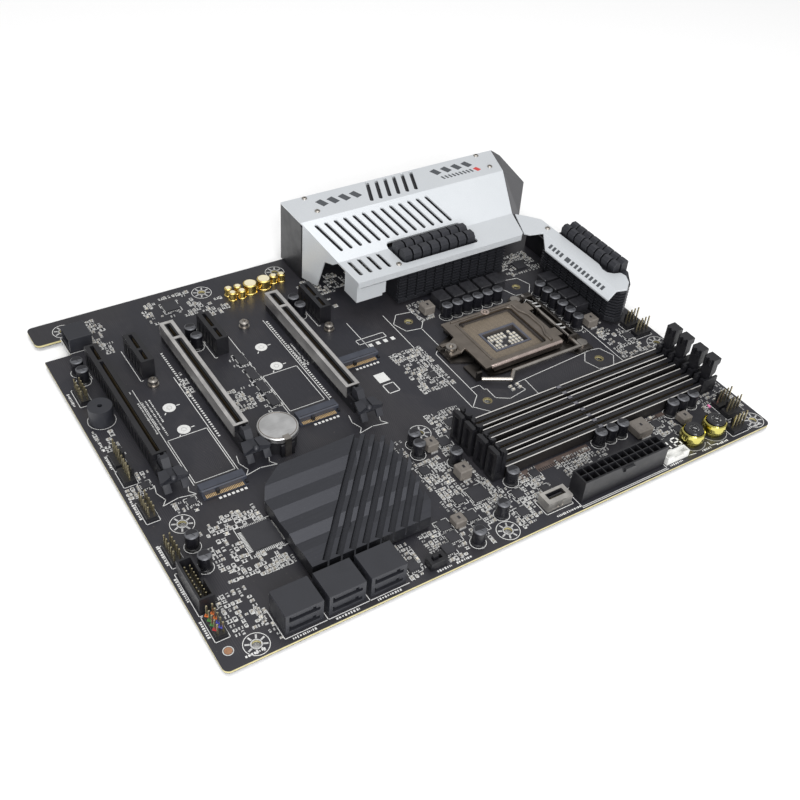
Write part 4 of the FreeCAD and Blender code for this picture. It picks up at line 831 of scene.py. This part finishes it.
def gold_can_tops():
    """Rolled top on every audio can, with a pale disc across it as a painted highlight."""
    tops = Piece("painted_highlight_gold", "gold_can")
    for box in solids("gold_capacitors"):
        r, z = box.wide / 2 - 0.15, box.z1
        tops.turned(box.x, box.y, [(r - 0.2, z - 0.3), (r - 0.05, z - 0.3), (r - 0.55, z + 0.04)], 1)
        # painted highlight: pale disc across the top of each can
        tops.disc(box.x, box.y, r - 0.7, z + 0.02, z + 0.07, 0, 28)
    tops.done("gold_can_tops", slot="gold_can")


def coil_details():
    """Raised lid and dark mark on every coil, and end terminals on the beige coils."""
    lids = Piece("ferrite", "beige_ferrite", "tin", "dark_mark_and_shade")
    for box in solids("vrm_chokes"):
        lids.slab(box.x, box.y, box.wide - 2.8, box.deep - 1.6, box.z1, box.z1 + 0.12, 0)
        lids.slab(box.x, box.y, box.wide - 5.2, 0.3, box.z1 + 0.12, box.z1 + 0.16, 3)
    for box in solids("beige_chokes"):
        lids.slab(box.x, box.y, box.wide - 3.2, box.deep - 2.2, box.z1, box.z1 + 0.1, 1)
        lids.slab(box.x, box.y, 1.8, 1.2, box.z1 + 0.1, box.z1 + 0.13, 3)
        for side in (-1, 1):
            lids.slab(box.x + side * (box.wide / 2 + 0.1), box.y, 0.7, box.deep * 0.6, 0, 0.8, 2)
    lids.done("coil_lids", slot="ferrite", round_mm=0.05)


# ---- contacts in slots and connectors ----
long_slot = 60                           # card slots longer than this are the long ones
card_first, memory_first = 3.0, 9.0      # first contact from the end of a card slot or memory slot
memory_pitch, drive_first = 0.85, 3.6


def comb(piece, x, y, z0, z1, step, count, along_x, finish=0, thick=0.14):
    """Row of thin contact strips."""
    for i in range(count):
        if along_x:
            piece.slab(x + i * step, y, step * 0.5, thick, z0, z1, finish)
        else:
            piece.slab(x, y + i * step, thick, step * 0.5, z0, z1, finish)


def slot_contacts():
    """Sprung contacts that show in the grooves of the card and memory slots."""
    rows = Piece("slot_contact")
    card_half, memory_half = 0.85, 0.66
    for side in (-1, 1):
        for box in slot_boxes + x1_boxes:
            count = 84 if box.wide > long_slot else 20
            comb(rows, box.x0 + card_first, box.y + side * card_half, 3.0, 9.6, 1.0, count, True)
        for box in solids("dimm_slots"):
            x, y = box.x + side * memory_half, box.y0 + memory_first
            comb(rows, x, y, 2.2, 5.8, memory_pitch, 146, False)
    rows.done("slot_contacts", slot="gold")


def solder_rows():
    """Printed teeth beside the long slots, and the bare strip with its test points by the memory."""
    rows = Piece("ink", "bare_tan", "dark_mark_and_shade")
    for box in slot_boxes[1:]:
        comb(rows, box.x0 + 10, box.y0 - 4.2, 0, print_high, 1.8, 40, True, 0, 1.1)
    strip_x0, strip_high = span("dimm_slots").x1 + 0.6, 0.04
    step, end = 1.2, 3.0
    for y0, y1, width in ((166, 209, 4.4), (228, 260, 2.4)):
        rows.block(strip_x0, strip_x0 + width, y0, y1, 0, strip_high, 1)
        count = int((y1 - y0 - 2 * end) / step)
        x, top = strip_x0 + width - 0.9, strip_high + print_high
        comb(rows, x, y0 + end, strip_high, top, step, count, False, 2, 1.6)
    rows.done("solder_rows")


def underside_points():
    """Domed solder points under the through-hole connectors, between the board and the lowest heads."""
    points = Piece("lead")
    under = -(board_high.z - board_low.z) / MM
    dome = [(0.25, under - 0.9), (0.45, under - 0.4), (0.75, under)]
    row_half = 1.6

    def field_of(x0, y0, step_x, step_y, count_x, count_y):
        for i in range(count_x):
            for j in range(count_y):
                points.turned(x0 + i * step_x, y0 + j * step_y, dome, 0, 8)

    for box in solids("dimm_slots"):
        for shift, phase in ((-row_half, 0.0), (row_half, memory_pitch)):
            field_of(box.x + shift, box.y0 + memory_first + phase, 1.0, 2 * memory_pitch, 1, 74)
    for box in slot_boxes + x1_boxes:
        count = 40 if box.wide > long_slot else 9
        for shift, phase in ((-row_half, 0.0), (row_half, 1.0)):
            field_of(box.x0 + card_first + phase, box.y + shift, 2.0, 1.0, count, 1)
    for node in ("atx_power_connector", "eps_power_connector"):
        box = span(node)
        count_x = int((box.wide - 2 * power_wall) / power_pitch)
        count_y = int((box.deep - 2 * power_wall) / power_pitch)
        first = power_wall + power_pitch / 2
        field_of(box.x0 + first, box.y0 + first, power_pitch, power_pitch, count_x, count_y)
    for box in sata_boxes:
        field_of(box.x0 + 3.0, box.y0 + drive_first, 2.0, drive_pitch, 2, 7)
    for box in can_boxes:
        field_of(box.x - 1.3, box.y, 2.6, 1.0, 2, 1)
    for box in header_boxes:
        if box.wide > 5 and box.deep > 5.5:
            count_x, count_y = round(box.wide / pin_pitch), round(box.deep / pin_pitch)
            step_x, step_y = box.wide / count_x, box.deep / count_y
            field_of(box.x0 + step_x / 2, box.y0 + step_y / 2, step_x, step_y, count_x, count_y)
    points.done("underside_points")


def m2_details():
    """Gold tails and solder pads of the card sockets, their end posts, and the ring pads behind them."""
    parts = Piece("tail_gold", "ink", "black_plastic", "tin")
    for box in solids("m2_connectors"):
        comb(parts, box.x1 - 0.6, box.y0 + 1.6, 1.2, 1.5, 0.75, 25, False, 0, 2.0)
        parts.slab(box.x1 - 0.7, box.y - 3.8, 1.7, 1.4, 1.2, 3.6, 2)
        parts.slab(box.x1 - 0.7, box.y1 - 0.6, 1.7, 1.2, 1.2, 2.4, 2)
        parts.slab(box.x1 - 2.6, box.y, 0.3, box.deep - 2.0, 4.2, 4.26, 2)
        for i in range(7):
            parts.slab(box.x1 + 1.6, box.y - 3.6 + i * 2.1, 1.3, 1.3, 0, 0.05, 1)
    for x, y in ((91.8, 41.5), (109.5, 41.5), (69.4, 102.7), (87.0, 102.7)):
        parts.disc(x, y, 3.2, 0, 0.05, 1)
        parts.ring(x, y, 1.0, 1.4, 0.05, 0.09, 3, 20)
        parts.slab(x, y + 4.6, 0.5, 1.8, 0, print_high, 1)
        parts.slab(x + 3.4, y - 3.4, 1.6, 0.5, 0, print_high, 1, -0.7)
    parts.done("m2_details", slot="gold")


def power_details():
    """Contacts of the power header, drive ports and front-panel socket, and painted shade in that socket's
    well.
    """
    box = span("atx_power_connector")
    pins = Piece("gold", "dark_mark_and_shade")
    for i in range(2):
        for j in range(12):
            x = box.x0 + power_wall + (i + 0.5) * power_pitch
            y = box.y0 + power_wall + (j + 0.5) * power_pitch
            pins.ring(x, y, 0.5, 0.9, 4.0, 8.6, 0, 12)
    for drive in sata_boxes:
        for z in (4.0, 9.7):
            comb(pins, drive.x1 - 3.0, drive.y0 + drive_first, z, z + 0.1, drive_pitch, 7, False, 0, 4.0)
    front, floor_z = span("usb_front_connector"), 1.6
    comb(pins, front.x0 + 3.95, front.y0 + 3.6, 2.0, front.z1 - 1.2, 1.0, 8, False, 0, 0.16)
    # painted shade in the front-panel socket's well: a dark bar beside the contacts, a dark floor sheet and
    # thin dark sheets on both walls
    pins.slab(front.x0 + 3.4, front.y, 0.84, front.deep - 6.3, front.z1 - 1.4, front.z1 - 0.95, 1)
    pins.slab(front.x0 + 3.35, front.y, 3.5, front.deep - 4.4, floor_z, floor_z + 0.1, 1)
    for x in (front.x0 + 1.65, front.x1 - 2.65):
        pins.slab(x, front.y, 0.06, front.deep - 4.5, floor_z, front.z1 - 0.4, 1)
    pins.done("power_terminals", slot="gold")


def header_colours():
    """Coloured base of the case-button header, the pink lamp and the copper dot in the front corner."""
    base = Piece("orange_plastic", "green_plastic", "blue_plastic", "red_plastic", "pink_lens", "copper",
                 "tin")
    box = max(header_boxes, key=lambda b: b.x * (b.y < 12))
    half = pin_pitch / 2
    for i, (top, bottom) in enumerate(((0, 0), (0, 1), (2, 1), (2, 3))):
        x = box.x0 + half + i * pin_pitch
        for finish, y in ((bottom, box.y0 + half), (top, box.y1 - half)):
            base.ring(x, y, 0.5, 1.25, box.z0 + 0.05, box.z1 + 0.06, finish, 4)
    base.slab(218.9, 285.2, 1.8, 1.0, 0, 0.8, 4)
    base.disc(235.0, 5.5, 1.7, 0, 0.06, 5)
    base.ring(235.0, 5.5, 1.9, 2.3, 0, 0.04, 6)
    base.done("header_colours")


# ---- processor socket ----
def socket_details():
    """Contact field, the frame round its well, the caps in the well and the fittings round the hinge."""
    body = span("cpu_socket_body")
    field = Piece("contact_field", "well_frame", "cream", "tin")
    well_x0, well_x1, well_y0, well_y1 = 117.5, 132.0, 211.8, 233.0
    well = (well_x0, well_x1, well_y0, well_y1)
    ground, rim, band = 2.6, 1.5, 1.3
    inside = (body.x0 + rim, body.x1 - rim, body.y0 + rim, body.y1 - rim)
    frame_edge = (well_x0 - band, well_x1 + band, well_y0 - band, well_y1 + band)
    field.border(inside, well, ground, ground + 0.08, 0)
    field.border(frame_edge, well, ground + 0.08, ground + 0.5, 1)
    for i in range(5):
        for j in range(9):
            x, y = well_x0 + 2.0 + i * 2.5, well_y0 + 1.8 + j * 2.2
            if chance.random() < 0.85:
                field.slab(x, y, 1.8, 1.4, 0, 0.9, 2)
                for side in (-0.9, 0.9):
                    field.slab(x + side, y, 0.4, 1.4, 0, 0.95, 3)
    for x in (109.2, 112.4, 131.4, 134.6):
        field.tube([(x, 251.6, 2.0), (x, 253.2, 5.2), (x, 256.2, 4.6)], 0.55, 3)
    field.tube([(104.4, 249.6, 1.6), (104.4, 252.6, 5.0), (108.0, 254.2, 5.2)], 0.5, 3)
    field.done("socket_field", slot="socket_plastic")


def load_plate_details():
    """Rolled bright edge, raised far band, stiffening ribs and a round tab on the load plate."""
    top = span("socket_load_plate").z1
    trim = Piece("rose_steel", "steel_satin")
    trim.tube([(144.4, 198.6, top - 1.2), (144.6, 200.0, top - 1.0), (144.6, 245.6, top - 1.0)], 1.25, 0, 20)
    wave = [(106.0, 240.8), (112.0, 241.0), (118.0, 243.6), (130.0, 243.6), (136.0, 241.0), (142.0, 240.8)]
    trim.tube([(x, y, top) for x, y in wave], 0.9, 1, 14)
    for y0, y1 in ((200.0, 219.0), (227.0, 240.0)):
        trim.tube([(104.2, y0, top), (104.2, y1, top)], 0.55, 1)
    trim.disc(104.6, 223.0, 2.4, top, top + 0.3, 0, 28)
    trim.ring(104.6, 223.0, 0.7, 1.3, top + 0.3, top + 0.45, 1, 20)
    trim.tube([(106.8, 201.6, top), (140.4, 201.6, top)], 0.5, 1)
    trim.done("load_plate_trim", "socket_load_plate", "steel_satin")


# ---- covers ----
def cover_marks():
    """Plain dark strokes and a red one on the cover, in place of printing."""
    marks = Piece("cover_mark", "red_mark")
    top = span("io_shroud").z1
    over = top + print_high
    for i in range(4):
        marks.slab(9.0, 172.0 + i * 7.4, 6.6, 4.4, top, over, 0, 0.35)
        marks.slab(7.0, 251.5 + i * 7.6, 6.0, 4.4, top, over, 0, 0.35)
    for i in range(9):
        marks.slab(14.6, 252.0 + i * 2.6, 3.4, 1.3, top, over, 0, 0.2)
    marks.slab(14.6, 277.0, 4.0, 3.2, top, over, 1, 0.35)
    marks.done("cover_marks")


def painted_vent_shade():
    """Thin black sheet close under the vents of the flat top and of the sloping panel, as painted shade seen
    through the vents.
    """
    cover = span("io_shroud")
    # painted shade: a black sheet under the vents stands in for the shade inside the cover
    shade_sheet = Piece("dark_mark_and_shade")
    gap, thick = 1.6, 0.3
    flat = (cover.x0 + 2.0, cover.x0 + 20.0)
    far_edge, near_edge = 272.0, 156.0
    shade_sheet.block(*flat, near_edge, far_edge, cover.z1 - gap - thick, cover.z1 - gap)
    slope_x, slope_z = (24.2, 44.4), (36.6 - gap, 27.4 - gap)
    rings = []
    for x, z in zip(slope_x, slope_z):
        start = near_edge + 2.0
        rings.append([(x, start, z), (x, far_edge, z), (x, far_edge, z - thick), (x, start, z - thick)])
    shade_sheet.loft(rings)
    shade_sheet.done("painted_vent_shade")


def bar_marks():
    """Row of slim dark strokes along the sloping lip of the second bar."""
    marks = Piece("cover_mark")
    lip_y0, lip_y1 = 283.0, 278.3
    z_high, z_low = 25.0, 19.8
    for i in range(15):
        x = 86.0 + i * 3.3
        gap = 1.4 if i == 4 else 0.0
        ring = []
        for t, dx in ((0.32, 0.0), (0.32, 1.9), (0.70, 1.5), (0.70, -0.4)):
            ring.append((x + gap + dx, lip_y0 + (lip_y1 - lip_y0) * t, z_high + (z_low - z_high) * t))
        marks.loft([[(a, b - 0.02, c) for a, b, c in ring], [(a, b - 0.05, c + 0.03) for a, b, c in ring]])
    marks.done("bar_marks")


# ---- buttons, display, cell ----
def button_faces():
    """Light ring and stroke printed in each button's face."""
    for name in ("power_button", "reset_button"):
        box = span(name)
        face = Piece("ink")
        arc = circle(box.x, box.y, 2.2, 24, math.radians(20), math.radians(310))
        face.stroke(arc, 0.42, box.z1 - 0.28, 0, 0.05)
        face.slab(box.x + 0.2, box.y + 0.1, 1.5, 0.36, box.z1, box.z1 + print_high, 0, 0.6)
        face.done(name + "_mark", name)


def display_segments():
    """Pale bars of the two digits, and a lit point beside them."""
    bars = Piece("segment")
    for box in solids("segment_display"):
        if box.z0 > 1.0:
            bars.block(box.x0, box.x1, box.y0, box.y1, box.z1, box.z1 + print_high)
    bars.disc(236.0, 244.7, 0.35, 2.4, 2.55, 0, 14)
    bars.done("display_bars")


def cell_face():
    """Shallow ring near the rim of the coin cell."""
    box = span("coin_cell")
    face = Piece("steel_satin")
    face.ring(box.x, box.y, box.wide / 2 - 1.1, box.wide / 2 - 0.7, box.z1, box.z1 + 0.08, 0, 64)
    face.done("cell_face", slot="steel_satin", round_mm=0.02)


hole_marks()
guide_lines()
dash_rows()
blank_badges()
scatter()
chip_leads()
can_tops()
gold_can_tops()
coil_details()
slot_contacts()
solder_rows()
underside_points()
m2_details()
power_details()
header_colours()
socket_details()
load_plate_details()
cover_marks()
painted_vent_shade()
bar_marks()
button_faces()
display_segments()
cell_face()


# ---- floor, light and camera ----
def floor():
    """Wide pale sheet just under the lowest screw heads."""
    graph = Graph("floor_sheet")
    fine = graph.noise(3.0, 3.0)
    white = (1.0, 1.0, 1.0, 1.0)
    graph.give("Base Color", graph.mix(fine, shade(white, 0.93), shade(white, 0.95)))
    graph.give("Roughness", 0.9)
    half = 6.0
    data = bpy.data.meshes.new("floor_sheet")
    low = cad_box[0][2] - 0.1 * MM
    corners = [(-half, -half, low), (half, -half, low), (half, half, low), (-half, half, low)]
    data.from_pydata(corners, [], [(0, 1, 2, 3)])
    data.materials.append(graph.material)
    add_object("floor_sheet", data)


def aim_at(name, data, place, target, roll=0.0):
    """New lamp or camera that looks from one place at another, rolled about its own axis."""
    made = add_object(name, data)
    made.location = place
    made.rotation_mode = "QUATERNION"
    turned = (Vector(target) - Vector(place)).to_track_quat("-Z", "Y").to_matrix()
    made.rotation_quaternion = (turned @ Matrix.Rotation(roll, 3, "Z")).to_quaternion()
    return made


def area_light(name, place, size, power):
    """Square soft light aimed at the middle of the board."""
    data = bpy.data.lights.new(name, "AREA")
    data.shape = "SQUARE"
    data.size = size
    data.energy = power
    aim_at(name, data, place, (0.0, 0.0, 0.0))


def studio():
    """Even white surroundings with a soft main light from the camera's side and one overhead."""
    world = bpy.data.worlds.new("studio")
    world.use_nodes = True
    sky = world.node_tree.nodes["Background"].inputs
    sky["Color"].default_value = (1.0, 1.0, 1.0, 1.0)
    sky["Strength"].default_value = 0.5
    bpy.context.scene.world = world
    area_light("main_light", (1.25, -0.55, 0.7), 1.1, 27.0)
    area_light("high_light", (0.1, 0.0, 1.7), 1.3, 14.0)
    bpy.context.scene.view_settings.view_transform = "Standard"


def camera():
    """Camera in front of the board's front-left corner, turned a little about its own axis."""
    data = bpy.data.cameras.new("camera")
    data.lens = 47.25
    data.sensor_width = 36.0
    data.clip_start = 0.01
    place, target = at(465.8, -89.5, 347.6), at(139.7, 145.4, 0.0)
    bpy.context.scene.camera = aim_at("camera", data, place, target, math.radians(5.34))


floor()
studio()
camera()
